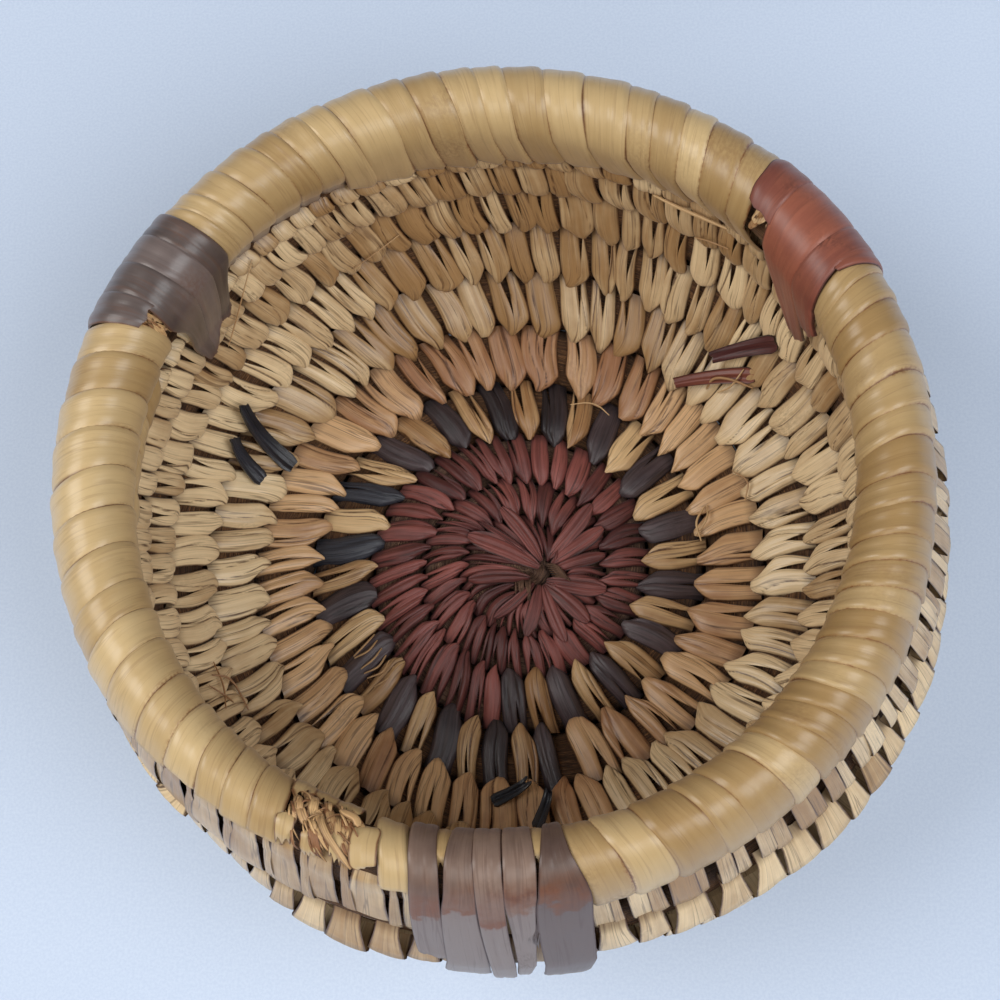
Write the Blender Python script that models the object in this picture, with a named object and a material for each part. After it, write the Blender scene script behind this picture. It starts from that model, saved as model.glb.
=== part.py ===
"""Open coiled bowl basket: one spiral grass coil sewn with leaf strips, a thick wrapped rim,
a red centre, a ring of dark stitches and three coloured accent bands on the rim."""

import math

import bmesh
import bpy

# Coil rows, metres and degrees. A turn count of 0 is where the ring of dark stitches starts.
FULL_PITCH = 0.0125
RED_PITCH = 0.0092
TOP_PITCH = 0.0091
RED_RADIUS = 0.0258
FULL_TURNS = 5
TOP_TURNS = 2
COIL_DEPTH = 0.0126
ROW_GAP = 0.00045
START_ANGLE = 276.2
SQUARENESS = 0.5
SECTION_POINTS = 6

# Bowl profile, along its inner face: a flat floor, a round bend, a nearly upright wall.
FLOOR_RADIUS = 0.0368
BEND_RADIUS = 0.0391
WALL_SLOPE = 87.4
BASE_CUT = 0.0011

# Sewing stitches.
FLOOR_STITCH = 0.0052
WALL_STITCH = 0.0072
STITCH_RELIEF = 0.0005
STITCH_SLANT = 22.0
STITCH_WIDENING = 1.6
SLIMMEST_SHARE = 0.4
JOIN_GAP = 0.0004

# Ring of dark stitches in the row round the red centre.
DARK_COUNT = 20
DARK_STEP = 19.6
DARK_FIRST = 265.0
DARK_SWAY = 14.9
DARK_RIPPLE = -1.9
DARK_RIPPLE_WAVES = 4
DARK_WIDTH = 0.0046
DARK_THICKNESS = 0.0015
PIECE_GAP = 0.00035

# Centre knot.
KNOT_RADIUS = 0.0042
KNOT_STRANDS = 9
KNOT_CROWN = 0.0012
KNOT_RELIEF = 0.0006
KNOT_SHOULDER_DEPTH = 0.0030
KNOT_TOP_SHARE = 0.62
KNOT_EDGE_CROWN = 0.0008
COIL_START_WIDTH = 0.0016

# Rim: a thick oval bundle wrapped with wide leaf strips.
RIM_HALF_WIDTH = 0.0081
RIM_HALF_HEIGHT = 0.0110
RIM_LEAN = 16.9
RIM_INSET = 0.0038
RIM_OFFSET_X = -0.0037
RIM_OFFSET_Y = 0.0051
RIM_SLIM = 0.0022
SLIM_CENTRE = 262.0
SLIM_REACH = 95.0
RIM_POINTS = 10
STRIP_WIDTH = 0.0062
STRIP_STEP = 0.0005
STRIP_THICKNESS = 0.0009
STRIP_SLANT = 0.0022
STRIP_LAP = 0.08
CORE_STEP = 9.0

# Rim sectors in order round the bowl, degrees; the right wrap takes what is left.
RED_BAND_START = 26.0
RED_BAND_SPAN = 19.5
BACK_WRAP_SPAN = 95.5
GREY_BAND_SPAN = 17.8
LEFT_WRAP_SPAN = 81.7
TORN_SPAN = 14.0
FRONT_WRAP_SPAN = 5.5
FRONT_BAND_SPAN = 22.0

# Accent bands: strips laid over the bundle and drawn down over the coil rows.
BAND_THICKNESS = 0.0010
BAND_PROUD = 0.0006
BAND_LIFT = 0.0007
BAND_TIP_SHARE = 0.72
BAND_ARC_STEPS = 9
INNER_TAIL_ARC = (205.0, -60.0)
OUTER_TAIL_ARC = (-28.0, 215.0)
WALL_TOP_MARGIN = 0.0027
TAIL_STEP = 0.0125
RED_TAILS = (0.0100, 0.0165, 0.0105, 0.0050)
GREY_TAILS = (0.0120, 0.0195, 0.0145, 0.0050)
FRONT_TAILS = (0.0400, 0.0450, 0.0460, 0.0440, 0.0430)

# Broken wraps: place in the torn sector, width and reach over the bundle in degrees.
TORN_FOOT = -35.0
TORN_TIP_NARROWING = 0.35
TORN_STEPS = 5
THIN_TORN = (0.45, 0.0028, 120.0)
WIDE_TORN = (0.78, 0.0047, 90.0)

# Loose ends of dyed strips left standing inside the bowl: root and tip, each a distance
# along the profile and an angle round the bowl.
LOOSE_WIDTH = 0.0042
LOOSE_THICKNESS = 0.0009
LOOSE_TAPER = 0.45
LOOSE_RISE = 0.0022
LEFT_LONG_END = ((0.0588, 157.5), (0.0802, 153.5))
LEFT_SHORT_END = ((0.0646, 163.5), (0.0780, 159.5))
FRONT_LONG_END = ((0.0557, 263.5), (0.0508, 272.5))
FRONT_SHORT_END = ((0.0624, 273.5), (0.0535, 277.0))
RIGHT_DARK_END = ((0.0815, 37.5), (0.0673, 46.0))
RIGHT_LIGHT_END = ((0.0708, 37.0), (0.0561, 49.5))

# Values that follow from the sizes above.
TURN_ANGLE = 360.0
SLOPE = math.radians(WALL_SLOPE)
TOTAL_TURNS = FULL_TURNS + TOP_TURNS
ROW_TOP = RED_RADIUS + FULL_PITCH * FULL_TURNS + TOP_PITCH * TOP_TURNS
HALF_DEPTH = COIL_DEPTH / 2
BASE_RISE = COIL_DEPTH - BASE_CUT
DARK_END_TURN = (DARK_FIRST - DARK_STEP / 2 + DARK_COUNT * DARK_STEP - START_ANGLE) / TURN_ANGLE
DARK_START_TURN = (DARK_FIRST - DARK_STEP / 2 - START_ANGLE) / TURN_ANGLE
RED_BAND_END = RED_BAND_START + RED_BAND_SPAN
GREY_BAND_START = RED_BAND_END + BACK_WRAP_SPAN
GREY_BAND_END = GREY_BAND_START + GREY_BAND_SPAN
TORN_START = GREY_BAND_END + LEFT_WRAP_SPAN
TORN_END = TORN_START + TORN_SPAN
FRONT_BAND_START = TORN_END + FRONT_WRAP_SPAN
FRONT_BAND_END = FRONT_BAND_START + FRONT_BAND_SPAN


def edge(turn):
    """Distance along the profile of the coil's inner edge after so many turns."""
    if turn < 0:
        return RED_RADIUS + RED_PITCH * turn
    if turn < FULL_TURNS:
        return RED_RADIUS + FULL_PITCH * turn
    return min(RED_RADIUS + FULL_PITCH * FULL_TURNS + TOP_PITCH * (turn - FULL_TURNS), ROW_TOP)


def profile(along, depth):
    """Radius and height of a point of the wall, depth measured outward from the inner face."""
    bend = min(max((along - FLOOR_RADIUS) / BEND_RADIUS, 0.0), SLOPE)
    rest = max(along - FLOOR_RADIUS - BEND_RADIUS * SLOPE, 0.0)
    radius = min(along, FLOOR_RADIUS) + BEND_RADIUS * math.sin(bend) + rest * math.cos(SLOPE)
    height = BEND_RADIUS * (1 - math.cos(bend)) + rest * math.sin(SLOPE)
    return radius + depth * math.sin(bend), height - depth * math.cos(bend)


TOP_RADIUS, TOP_HEIGHT = profile(ROW_TOP, 0.0)
LEAN = math.radians(-RIM_LEAN)
RIM_DROP = math.hypot(RIM_HALF_WIDTH * math.sin(LEAN), RIM_HALF_HEIGHT * math.cos(LEAN))
RIM_RADIUS = TOP_RADIUS + HALF_DEPTH * math.sin(SLOPE) - RIM_INSET
RIM_HEIGHT = TOP_HEIGHT + RIM_DROP + PIECE_GAP
STRIP_INNER = STRIP_STEP + STRIP_THICKNESS
CORE_INSET = STRIP_INNER + PIECE_GAP


def in_space(radius, height, angle):
    """World position; the upper wall and the rim sit a little to one side of the base."""
    share = min(max(height / RIM_HEIGHT, 0.0), 1.0) ** 3
    turn = math.radians(angle)
    return (
        radius * math.cos(turn) + RIM_OFFSET_X * share,
        radius * math.sin(turn) + RIM_OFFSET_Y * share,
        max(height + BASE_RISE, 0.0),
    )


def on_wall(along, depth, angle):
    radius, height = profile(along, depth)
    return in_space(radius, height, angle)


def slim_at(angle):
    """How much narrower the rim is outside, near the front where the rows below stand out."""
    away = abs((angle - SLIM_CENTRE + TURN_ANGLE / 2) % TURN_ANGLE - TURN_ANGLE / 2)
    return RIM_SLIM * math.cos(math.pi / 2 * min(away / SLIM_REACH, 1.0)) ** 2


def rim_point(around, inset, angle):
    """Point of the rim's oval section, inset measured inward from its nominal outline."""
    wide = (RIM_HALF_WIDTH - inset) * math.cos(around)
    wide -= slim_at(angle) * max(math.cos(around), 0.0)
    tall = (RIM_HALF_HEIGHT - inset) * math.sin(around)
    radius = RIM_RADIUS + wide * math.cos(LEAN) + tall * math.sin(LEAN)
    height = RIM_HEIGHT - wide * math.sin(LEAN) + tall * math.cos(LEAN)
    return radius, height


def super_round(angle):
    """Cosine and sine of a squared-off oval."""
    c = math.cos(angle)
    s = math.sin(angle)
    return (
        math.copysign(abs(c) ** SQUARENESS, c),
        math.copysign(abs(s) ** SQUARENESS, s),
    )


def coil_ring(turn, relief, gap=ROW_GAP):
    """One slanted ring of points round the coil, drawn in by the relief."""
    points = []
    angle = START_ANGLE + turn * TURN_ANGLE
    inner = max(edge(turn), KNOT_RADIUS + PIECE_GAP)
    outer = edge(turn + 1)
    radius = max(profile((inner + outer) / 2, 0.0)[0], KNOT_RADIUS)
    lean = math.tan(math.radians(STITCH_SLANT)) * (outer - inner) / 2 / radius
    for k in range(SECTION_POINTS):
        c, s = super_round(2 * math.pi * k / SECTION_POINTS)
        shift = lean * c
        here = turn + shift / (2 * math.pi)
        inner = max(edge(here), KNOT_RADIUS + PIECE_GAP)
        outer = edge(here + 1)
        half = (outer - inner - gap) / 2
        along = (inner + outer) / 2 + max(half - relief, half * SLIMMEST_SHARE) * c
        depth = HALF_DEPTH - (HALF_DEPTH - relief) * s
        points.append(on_wall(along, depth, angle + math.degrees(shift)))
    return points


def new_mesh_object(name, verts, faces, material):
    bm = bmesh.new()
    made = [bm.verts.new(v) for v in verts]
    for face in faces:
        bm.faces.new([made[i] for i in face])
    bmesh.ops.recalc_face_normals(bm, faces=bm.faces)
    mesh = bpy.data.meshes.new(name)
    bm.to_mesh(mesh)
    bm.free()
    obj = bpy.data.objects.new(name, mesh)
    bpy.context.scene.collection.objects.link(obj)
    mesh.materials.append(material)
    return obj


def loft(rings):
    """Vertices and faces of a solid skinned over rings of points, capped at both ends."""
    count = len(rings[0])
    verts = [p for ring in rings for p in ring]
    faces = []
    for i in range(len(rings) - 1):
        for k in range(count):
            a = i * count + k
            b = i * count + (k + 1) % count
            faces.append((a, b, b + count, a + count))
    faces.append(tuple(range(count)))
    faces.append(tuple(range(len(verts) - count, len(verts))))
    return verts, faces


def make_material(name, colour, roughness):
    material = bpy.data.materials.new(name)
    material.use_nodes = True
    shader = material.node_tree.nodes["Principled BSDF"]
    shader.inputs["Base Color"].default_value = (*colour, 1.0)
    shader.inputs["Roughness"].default_value = roughness
    shader.inputs["Metallic"].default_value = 0.0
    return material


def stitch_width(along):
    """Stitches widen from the floor rows to the wall rows."""
    share = min(max((along - RED_RADIUS) / (ROW_TOP - RED_RADIUS), 0.0), 1.0)
    return FLOOR_STITCH + (WALL_STITCH - FLOOR_STITCH) * min(share * STITCH_WIDENING, 1.0)


def coil_row(name, first, last, material):
    """A length of coil between two turn counts, ribbed by its stitches."""
    middle = (edge(first) + edge(last + 1)) / 2
    radius = profile((edge(first) + edge(last)) / 2 + FULL_PITCH / 2, 0.0)[0]
    clear = JOIN_GAP / 2 / (2 * math.pi * radius)
    count = max(round((last - first) * 2 * math.pi * radius / stitch_width(middle)), 6)
    rings = []
    step = (last - first - 2 * clear) / count
    for i in range(count):
        begin = first + clear + i * step
        rings.append(coil_ring(begin, STITCH_RELIEF))
        rings.append(coil_ring(begin + step / 2, 0.0))
    rings.append(coil_ring(last - clear, STITCH_RELIEF))
    verts, faces = loft(rings)
    return new_mesh_object(name, verts, faces, material)


def dark_centre(index):
    """Turn count at the middle of a dark stitch; the spacing opens and closes round the ring."""
    wave = math.pi * index / (DARK_COUNT - 1)
    sway = DARK_SWAY * math.sin(wave) + DARK_RIPPLE * math.sin(DARK_RIPPLE_WAVES * wave)
    return (DARK_FIRST + index * DARK_STEP + sway - START_ANGLE) / TURN_ANGLE


def dark_half(turn):
    """Half the width of a dark stitch, in turns."""
    radius = edge(turn) + FULL_PITCH / 2
    return DARK_WIDTH / 2 / (2 * math.pi * radius)


def ring_row(name, material):
    """The row with a groove for each dark stitch and two pale stitches between."""
    rings = []
    recess = DARK_THICKNESS + PIECE_GAP
    for i in range(DARK_COUNT):
        centre = dark_centre(i)
        half = dark_half(centre)
        side = PIECE_GAP * half / (DARK_WIDTH / 2)
        left = centre + half + side * 2
        right = dark_centre(i + 1) - dark_half(centre) - side * 2
        if i == 0:
            rings.append(coil_ring(DARK_START_TURN + side, STITCH_RELIEF))
            rings.append(coil_ring(centre - half - side * 2, STITCH_RELIEF))
        rings.append(coil_ring(centre - half - side, recess))
        rings.append(coil_ring(centre + half + side, recess))
        rings.append(coil_ring(left, STITCH_RELIEF))
        if i == DARK_COUNT - 1:
            rings.append(coil_ring(DARK_END_TURN - side, STITCH_RELIEF))
            break
        for j in range(3):
            share = (j + 1) / 4
            relief = STITCH_RELIEF if j == 1 else 0.0
            rings.append(coil_ring(left + (right - left) * share, relief))
        rings.append(coil_ring(right, STITCH_RELIEF))
    verts, faces = loft(rings)
    return new_mesh_object(name, verts, faces, material)


def raised(points):
    """The same points kept one gap above the surface that the basket stands on."""
    return [(x, y, max(z, PIECE_GAP)) for x, y, z in points]


def dark_stitch(name, index, material):
    """A strap wound once round the coil, seated in its groove."""
    centre = dark_centre(index)
    half = dark_half(centre)
    section = [
        raised(coil_ring(centre - half, STITCH_RELIEF)),
        raised(coil_ring(centre, 0.0)),
        raised(coil_ring(centre + half, STITCH_RELIEF)),
        coil_ring(centre + half, DARK_THICKNESS),
        coil_ring(centre - half, DARK_THICKNESS),
    ]
    sides = len(section)
    verts = [section[j][k] for k in range(SECTION_POINTS) for j in range(sides)]
    faces = []
    for k in range(SECTION_POINTS):
        for j in range(sides):
            a = k * sides + j
            b = k * sides + (j + 1) % sides
            c = ((k + 1) % SECTION_POINTS) * sides
            faces.append((a, b, c + (j + 1) % sides, c + j))
    return new_mesh_object(name, verts, faces, material)


def knot(name, material):
    """The gathered start of the coil, with strands fanned over it."""
    verts = []
    faces = []
    spokes = KNOT_STRANDS * 2
    levels = (
        (KNOT_RADIUS, COIL_DEPTH),
        (KNOT_RADIUS, KNOT_SHOULDER_DEPTH),
        (KNOT_RADIUS * KNOT_TOP_SHARE, -KNOT_EDGE_CROWN),
    )
    for radius, depth in levels:
        for i in range(spokes):
            angle = TURN_ANGLE * i / spokes
            relief = KNOT_RELIEF * (i % 2)
            verts.append(on_wall(radius - relief, depth, angle))
    verts.append(on_wall(0.0, -KNOT_CROWN, 0.0))
    for level in range(len(levels) - 1):
        for i in range(spokes):
            a = level * spokes + i
            b = level * spokes + (i + 1) % spokes
            faces.append((a, b, b + spokes, a + spokes))
    top = (len(levels) - 1) * spokes
    for i in range(spokes):
        faces.append((top + i, top + (i + 1) % spokes, len(verts) - 1))
    faces.append(tuple(range(spokes)))
    return new_mesh_object(name, verts, faces, material)


def rim_ring(angle, inset, points=RIM_POINTS, slant=STRIP_SLANT):
    """Ring of points round the rim section, slanted from its inner to its outer side."""
    ring = []
    for k in range(points):
        around = 2 * math.pi * k / points
        radius, height = rim_point(around, inset, angle)
        shift = math.degrees(slant / RIM_RADIUS) * math.cos(around)
        ring.append(in_rim(radius, height, angle + shift))
    return ring


def in_rim(radius, height, angle):
    """World position on the rim, which moves to one side as one piece."""
    turn = math.radians(angle)
    return (
        radius * math.cos(turn) + RIM_OFFSET_X,
        radius * math.sin(turn) + RIM_OFFSET_Y,
        height + BASE_RISE,
    )


def rim_core(name, material):
    """The bundle inside the rim, its two ends meeting under the front band."""
    rings = []
    gap = math.degrees(JOIN_GAP / RIM_RADIUS)
    start = (FRONT_BAND_START + FRONT_BAND_END) / 2
    span = TURN_ANGLE - gap
    count = round(span / CORE_STEP)
    for i in range(count + 1):
        rings.append(rim_ring(start + span * i / count, CORE_INSET))
    verts, faces = loft(rings)
    return new_mesh_object(name, verts, faces, material)


def rim_wrap(name, first, last, material):
    """Overlapping leaf strips round the bundle, each one's raised edge lying on the last."""
    gap = math.degrees(JOIN_GAP / 2 / RIM_RADIUS)
    first += gap
    last -= gap
    count = max(round(math.radians(last - first) * RIM_RADIUS / STRIP_WIDTH), 1)
    outer = []
    step = (last - first) / count
    for i in range(count):
        outer.append(rim_ring(first + i * step, 0.0))
        outer.append(rim_ring(first + (i + 1 - STRIP_LAP) * step, STRIP_STEP))
    outer[-1] = rim_ring(last, STRIP_STEP)
    spans = max(round((last - first) / CORE_STEP), 1)
    inner = [rim_ring(first + (last - first) * i / spans, STRIP_INNER) for i in range(spans + 1)]
    verts = [p for ring in outer for p in ring] + [p for ring in inner for p in ring]
    base = len(outer) * RIM_POINTS
    faces = []
    for i in range(len(outer) - 1):
        for k in range(RIM_POINTS):
            a = i * RIM_POINTS + k
            b = i * RIM_POINTS + (k + 1) % RIM_POINTS
            faces.append((a, b, b + RIM_POINTS, a + RIM_POINTS))
    for i in range(spans):
        for k in range(RIM_POINTS):
            a = base + i * RIM_POINTS + k
            b = base + i * RIM_POINTS + (k + 1) % RIM_POINTS
            faces.append((b, a, a + RIM_POINTS, b + RIM_POINTS))
    for k in range(RIM_POINTS):
        after = (k + 1) % RIM_POINTS
        faces.append((k, after, base + after, base + k))
        a = base - RIM_POINTS
        b = len(verts) - RIM_POINTS
        faces.append((a + after, a + k, b + k, b + after))
    return new_mesh_object(name, verts, faces, material)


def ribbon(name, path, first, last, material):
    """A strip with two faces, skinned over stations along its length."""
    verts = []
    for outer, inner, narrow, slant, place in path:
        middle = (first + last) / 2 + math.degrees(STRIP_SLANT / RIM_RADIUS) * slant
        half = (last - first) / 2 * narrow
        for radius, height in (outer, inner):
            verts.append(place(radius, height, middle - half))
            verts.append(place(radius, height, middle + half))
    faces = []
    for i in range(len(path) - 1):
        a = i * 4
        b = a + 4
        for j, k in ((0, 1), (1, 3), (3, 2), (2, 0)):
            faces.append((a + j, a + k, b + k, b + j))
    faces.append((0, 1, 3, 2))
    end = len(verts) - 4
    faces.append((end, end + 1, end + 3, end + 2))
    return new_mesh_object(name, verts, faces, material)


def wall_station(along, lift, side, narrow):
    """Station of a ribbon over the coil rows, on their inner or outer face."""
    if side > 0:
        outer = profile(along, COIL_DEPTH + lift + BAND_THICKNESS)
        inner = profile(along, COIL_DEPTH + lift)
    else:
        outer = profile(along, -lift - BAND_THICKNESS)
        inner = profile(along, -lift)
    return outer, inner, narrow, side, in_space


def rim_station(around, proud, thickness, angle, narrow=1.0):
    outer = rim_point(around, -proud, angle)
    inner = rim_point(around, thickness - proud, angle)
    return outer, inner, narrow, math.cos(around), in_rim


def accent_strip(name, first, last, tail, side, material):
    """A dyed strip over the rim, from a short stub on one face to a long tail on the other."""
    path = []
    start, end = OUTER_TAIL_ARC if side > 0 else INNER_TAIL_ARC
    reach = ROW_TOP - tail
    steps = max(round(tail / TAIL_STEP), 1) + 1
    for i in range(steps + 1):
        along = reach + (tail - WALL_TOP_MARGIN) * i / steps
        narrow = BAND_TIP_SHARE if i == 0 else 1.0
        path.append(wall_station(along, BAND_LIFT, side, narrow))
    for i in range(BAND_ARC_STEPS + 1):
        around = math.radians(start + (end - start) * i / BAND_ARC_STEPS)
        path.append(rim_station(around, BAND_PROUD, BAND_THICKNESS, (first + last) / 2))
    return ribbon(name, path, first, last, material)


def accent_band(stem, first, last, tails, side, material):
    """Strips side by side, one for each tail length."""
    gap = math.degrees(PIECE_GAP / RIM_RADIUS)
    step = (last - first) / len(tails)
    for i, tail in enumerate(tails):
        a = first + i * step + gap / 2
        b = first + (i + 1) * step - gap / 2
        accent_strip("%s_%d" % (stem, i + 1), a, b, tail, side, material)


def torn_strip(name, place, width, reach, material):
    """A broken wrap that still holds to the outer side of the bundle."""
    angle = TORN_START + TORN_SPAN * place
    path = []
    for i in range(TORN_STEPS + 1):
        share = i / TORN_STEPS
        around = math.radians(TORN_FOOT + reach * share)
        narrow = 1.0 - TORN_TIP_NARROWING * share
        path.append(rim_station(around, 0.0, STRIP_THICKNESS, angle, narrow))
    half = math.degrees(width / 2 / RIM_RADIUS)
    return ribbon(name, path, angle - half, angle + half, material)


def crest_depth():
    """Depth of the coil's inner crest below the nominal inner face."""
    return min(HALF_DEPTH * (1 - super_round(2 * math.pi * k / SECTION_POINTS)[1])
               for k in range(SECTION_POINTS))


def loose_end(name, root, tip, material):
    """A stiff strip end held at its root by the coil rows and standing off at its tip."""
    stations = 4
    seat = PIECE_GAP - crest_depth()
    verts = []
    for i in range(stations + 1):
        share = i / stations
        along = root[0] + (tip[0] - root[0]) * share
        angle = root[1] + (tip[1] - root[1]) * share
        radius = profile(along, 0.0)[0]
        sweep = math.radians(tip[1] - root[1]) * radius
        length = math.hypot(tip[0] - root[0], sweep)
        half = LOOSE_WIDTH / 2 * (1.0 - LOOSE_TAPER * share)
        lift = seat + LOOSE_RISE * share ** 2
        for level in (0.0, LOOSE_THICKNESS):
            for sign in (-1, 1):
                a = along - sweep / length * half * sign
                b = angle + math.degrees((tip[0] - root[0]) / length * half * sign / radius)
                verts.append(on_wall(a, -lift - level, b))
    faces = []
    for i in range(stations):
        a = i * 4
        b = a + 4
        for j, k in ((0, 1), (1, 3), (3, 2), (2, 0)):
            faces.append((a + j, a + k, b + k, b + j))
    faces.append((0, 1, 3, 2))
    last = len(verts) - 4
    faces.append((last, last + 1, last + 3, last + 2))
    return new_mesh_object(name, verts, faces, material)


def least_gap():
    """Least distance between a turn of the coil and the next, on points of both."""
    least = COIL_DEPTH
    steps = 12
    for i in range(steps * (TOTAL_TURNS - 1)):
        turn = i / steps
        outer = coil_ring(turn, 0.0)[0]
        for j in range(-30, 31):
            inner = coil_ring(turn + 1 + j / 1440, 0.0)[SECTION_POINTS // 2]
            least = min(least, math.dist(outer, inner))
    return least


for old in list(bpy.data.objects):
    bpy.data.objects.remove(old, do_unlink=True)

red_leaf = make_material("red_leaf", (0.165, 0.045, 0.038), 0.55)
tan_leaf = make_material("tan_leaf", (0.50, 0.34, 0.16), 0.5)
buff_leaf = make_material("buff_leaf", (0.56, 0.42, 0.22), 0.48)
dark_leaf = make_material("dark_leaf", (0.045, 0.036, 0.038), 0.4)
grass = make_material("grass_bundle", (0.30, 0.19, 0.09), 0.8)
rim_leaf = make_material("rim_leaf", (0.58, 0.44, 0.20), 0.35)
brick_leaf = make_material("brick_leaf", (0.28, 0.09, 0.055), 0.42)
grey_leaf = make_material("grey_leaf", (0.13, 0.095, 0.085), 0.38)

knot("centre_knot", red_leaf)

first_turn = (KNOT_RADIUS + COIL_START_WIDTH - RED_RADIUS) / RED_PITCH - 1
coil_row("red_round_1", first_turn, DARK_START_TURN - 2, red_leaf)
coil_row("red_round_2", DARK_START_TURN - 2, DARK_START_TURN - 1, red_leaf)
coil_row("red_round_3", DARK_START_TURN - 1, DARK_START_TURN, red_leaf)
ring_row("ringed_round", tan_leaf)
for i in range(DARK_COUNT):
    dark_stitch("dark_stitch_%02d" % (i + 1), i, dark_leaf)

pale_rounds = TOTAL_TURNS - 2
for i in range(pale_rounds):
    first = DARK_END_TURN + i
    coil_row("pale_round_%d" % (i + 1), first, first + 1, tan_leaf if i < 1 else buff_leaf)
taper_end = TOTAL_TURNS - COIL_START_WIDTH * 2 / TOP_PITCH
coil_row("tapered_round", DARK_END_TURN + pale_rounds, taper_end, buff_leaf)

rim_core("rim_bundle", grass)
rim_wrap("rim_wrap_back", RED_BAND_END, GREY_BAND_START, rim_leaf)
rim_wrap("rim_wrap_left", GREY_BAND_END, TORN_START, rim_leaf)
rim_wrap("rim_wrap_front", TORN_END, FRONT_BAND_START, rim_leaf)
rim_wrap("rim_wrap_right", FRONT_BAND_END, RED_BAND_START + TURN_ANGLE, rim_leaf)
torn_strip("torn_strip_1", *THIN_TORN, rim_leaf)
torn_strip("torn_strip_2", *WIDE_TORN, rim_leaf)

accent_band("red_strip", RED_BAND_START, RED_BAND_END, RED_TAILS, -1, brick_leaf)
accent_band("grey_strip", GREY_BAND_START, GREY_BAND_END, GREY_TAILS, -1, grey_leaf)
accent_band("front_strip", FRONT_BAND_START, FRONT_BAND_END, FRONT_TAILS, 1, grey_leaf)

loose_end("black_end_1", *LEFT_LONG_END, dark_leaf)
loose_end("black_end_2", *LEFT_SHORT_END, dark_leaf)
loose_end("black_end_3", *FRONT_LONG_END, dark_leaf)
loose_end("black_end_4", *FRONT_SHORT_END, dark_leaf)
loose_end("red_end_1", *RIGHT_DARK_END, brick_leaf)
loose_end("red_end_2", *RIGHT_LIGHT_END, brick_leaf)

# The whole basket is centred on its own outline.
bounds = []
for obj in bpy.context.scene.objects:
    bounds.extend(v.co.copy() for v in obj.data.vertices)
middle_x = (min(v.x for v in bounds) + max(v.x for v in bounds)) / 2
middle_y = (min(v.y for v in bounds) + max(v.y for v in bounds)) / 2
for obj in bpy.context.scene.objects:
    obj.location = (-middle_x, -middle_y, 0.0)

total = 0
for obj in bpy.context.scene.objects:
    obj.data.calc_loop_triangles()
    total += len(obj.data.loop_triangles)
print("triangles", total, "centre", round(middle_x, 5), round(middle_y, 5))
print("least gap between turns, mm", round(least_gap() * 1000, 3))
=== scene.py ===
"""Looks of the open coiled bowl basket: leaf stitches over grass coils, a wrapped rim with
three dyed bands, a broken patch, and the loose dyed ends inside the bowl."""

import math
import random

import bpy
import numpy as np
from mathutils import Matrix, Vector


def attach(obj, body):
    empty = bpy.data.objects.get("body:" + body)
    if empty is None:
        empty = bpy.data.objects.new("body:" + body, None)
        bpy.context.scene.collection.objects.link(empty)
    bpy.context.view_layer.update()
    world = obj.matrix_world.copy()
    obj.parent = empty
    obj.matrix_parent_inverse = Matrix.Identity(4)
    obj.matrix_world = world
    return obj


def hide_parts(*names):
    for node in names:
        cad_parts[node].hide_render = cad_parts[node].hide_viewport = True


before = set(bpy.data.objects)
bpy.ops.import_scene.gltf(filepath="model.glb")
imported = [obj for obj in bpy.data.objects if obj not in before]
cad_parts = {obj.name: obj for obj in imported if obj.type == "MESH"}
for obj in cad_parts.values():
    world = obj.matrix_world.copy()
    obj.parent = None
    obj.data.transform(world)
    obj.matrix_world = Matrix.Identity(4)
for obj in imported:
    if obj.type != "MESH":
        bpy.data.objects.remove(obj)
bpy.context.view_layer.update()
MM = 0.001

# Random starts: where a leaf lies in its texture, millimetres, and where a wave begins, radians.
TEXTURE_SHIFT = 400
SMALL_SHIFT = 99
WAVE_START = 6.28

# Coil geometry, millimetres and degrees.
FULL_PITCH = 12.5
RED_PITCH = 9.2
TOP_PITCH = 9.1
RED_RADIUS = 25.8
FULL_TURNS = 5
TOP_TURNS = 2
DEPTH = 12.6
START = 276.2
FLOOR_RADIUS = 36.8
BEND_RADIUS = 39.1
SLOPE = math.radians(87.4)
BASE_RISE = 11.5
ROW_TOP = RED_RADIUS + FULL_PITCH * FULL_TURNS + TOP_PITCH * TOP_TURNS
SHIFT_X = 1.82
SHIFT_Y = -1.52
KNOT_RADIUS = 4.2
INNERMOST = KNOT_RADIUS + 0.35
COIL_START_WIDTH = 1.6
CENTRE_DRIFT = (4.0, -2.6)
DRIFT_REACH = 13.0
TURN = 360.0

# Rim geometry.
RIM_HW = 8.1
RIM_HH = 11.0
LEAN = math.radians(-16.9)
RIM_INSET = 3.8
PIECE_GAP = 0.35
OFFSET_X = -3.7
OFFSET_Y = 5.1
SLIM = 2.2
SLIM_CENTRE = 262.0
SLIM_REACH = 95.0
FLAT = 1.2
FLAT_CENTRE = 355.0
FLAT_REACH = 32.0


def edge(turn):
    """Distance along the bowl's profile to the inner edge of the coil."""
    turn = np.asarray(turn, float)
    low = RED_RADIUS + RED_PITCH * turn
    mid = RED_RADIUS + FULL_PITCH * turn
    top = RED_RADIUS + FULL_PITCH * FULL_TURNS + TOP_PITCH * (turn - FULL_TURNS)
    return np.where(turn < 0, low, np.where(turn < FULL_TURNS, mid, np.minimum(top, ROW_TOP)))


def profile(along, depth):
    """Radius and height of a point along the bowl's profile, so deep under its inner face."""
    along = np.asarray(along, float)
    bend = np.clip((along - FLOOR_RADIUS) / BEND_RADIUS, 0.0, SLOPE)
    rest = np.maximum(along - FLOOR_RADIUS - BEND_RADIUS * SLOPE, 0.0)
    radius = np.minimum(along, FLOOR_RADIUS) + BEND_RADIUS * np.sin(bend)
    radius = radius + rest * math.cos(SLOPE)
    height = BEND_RADIUS * (1 - np.cos(bend)) + rest * math.sin(SLOPE)
    return radius + depth * np.sin(bend), height - depth * np.cos(bend)


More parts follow.
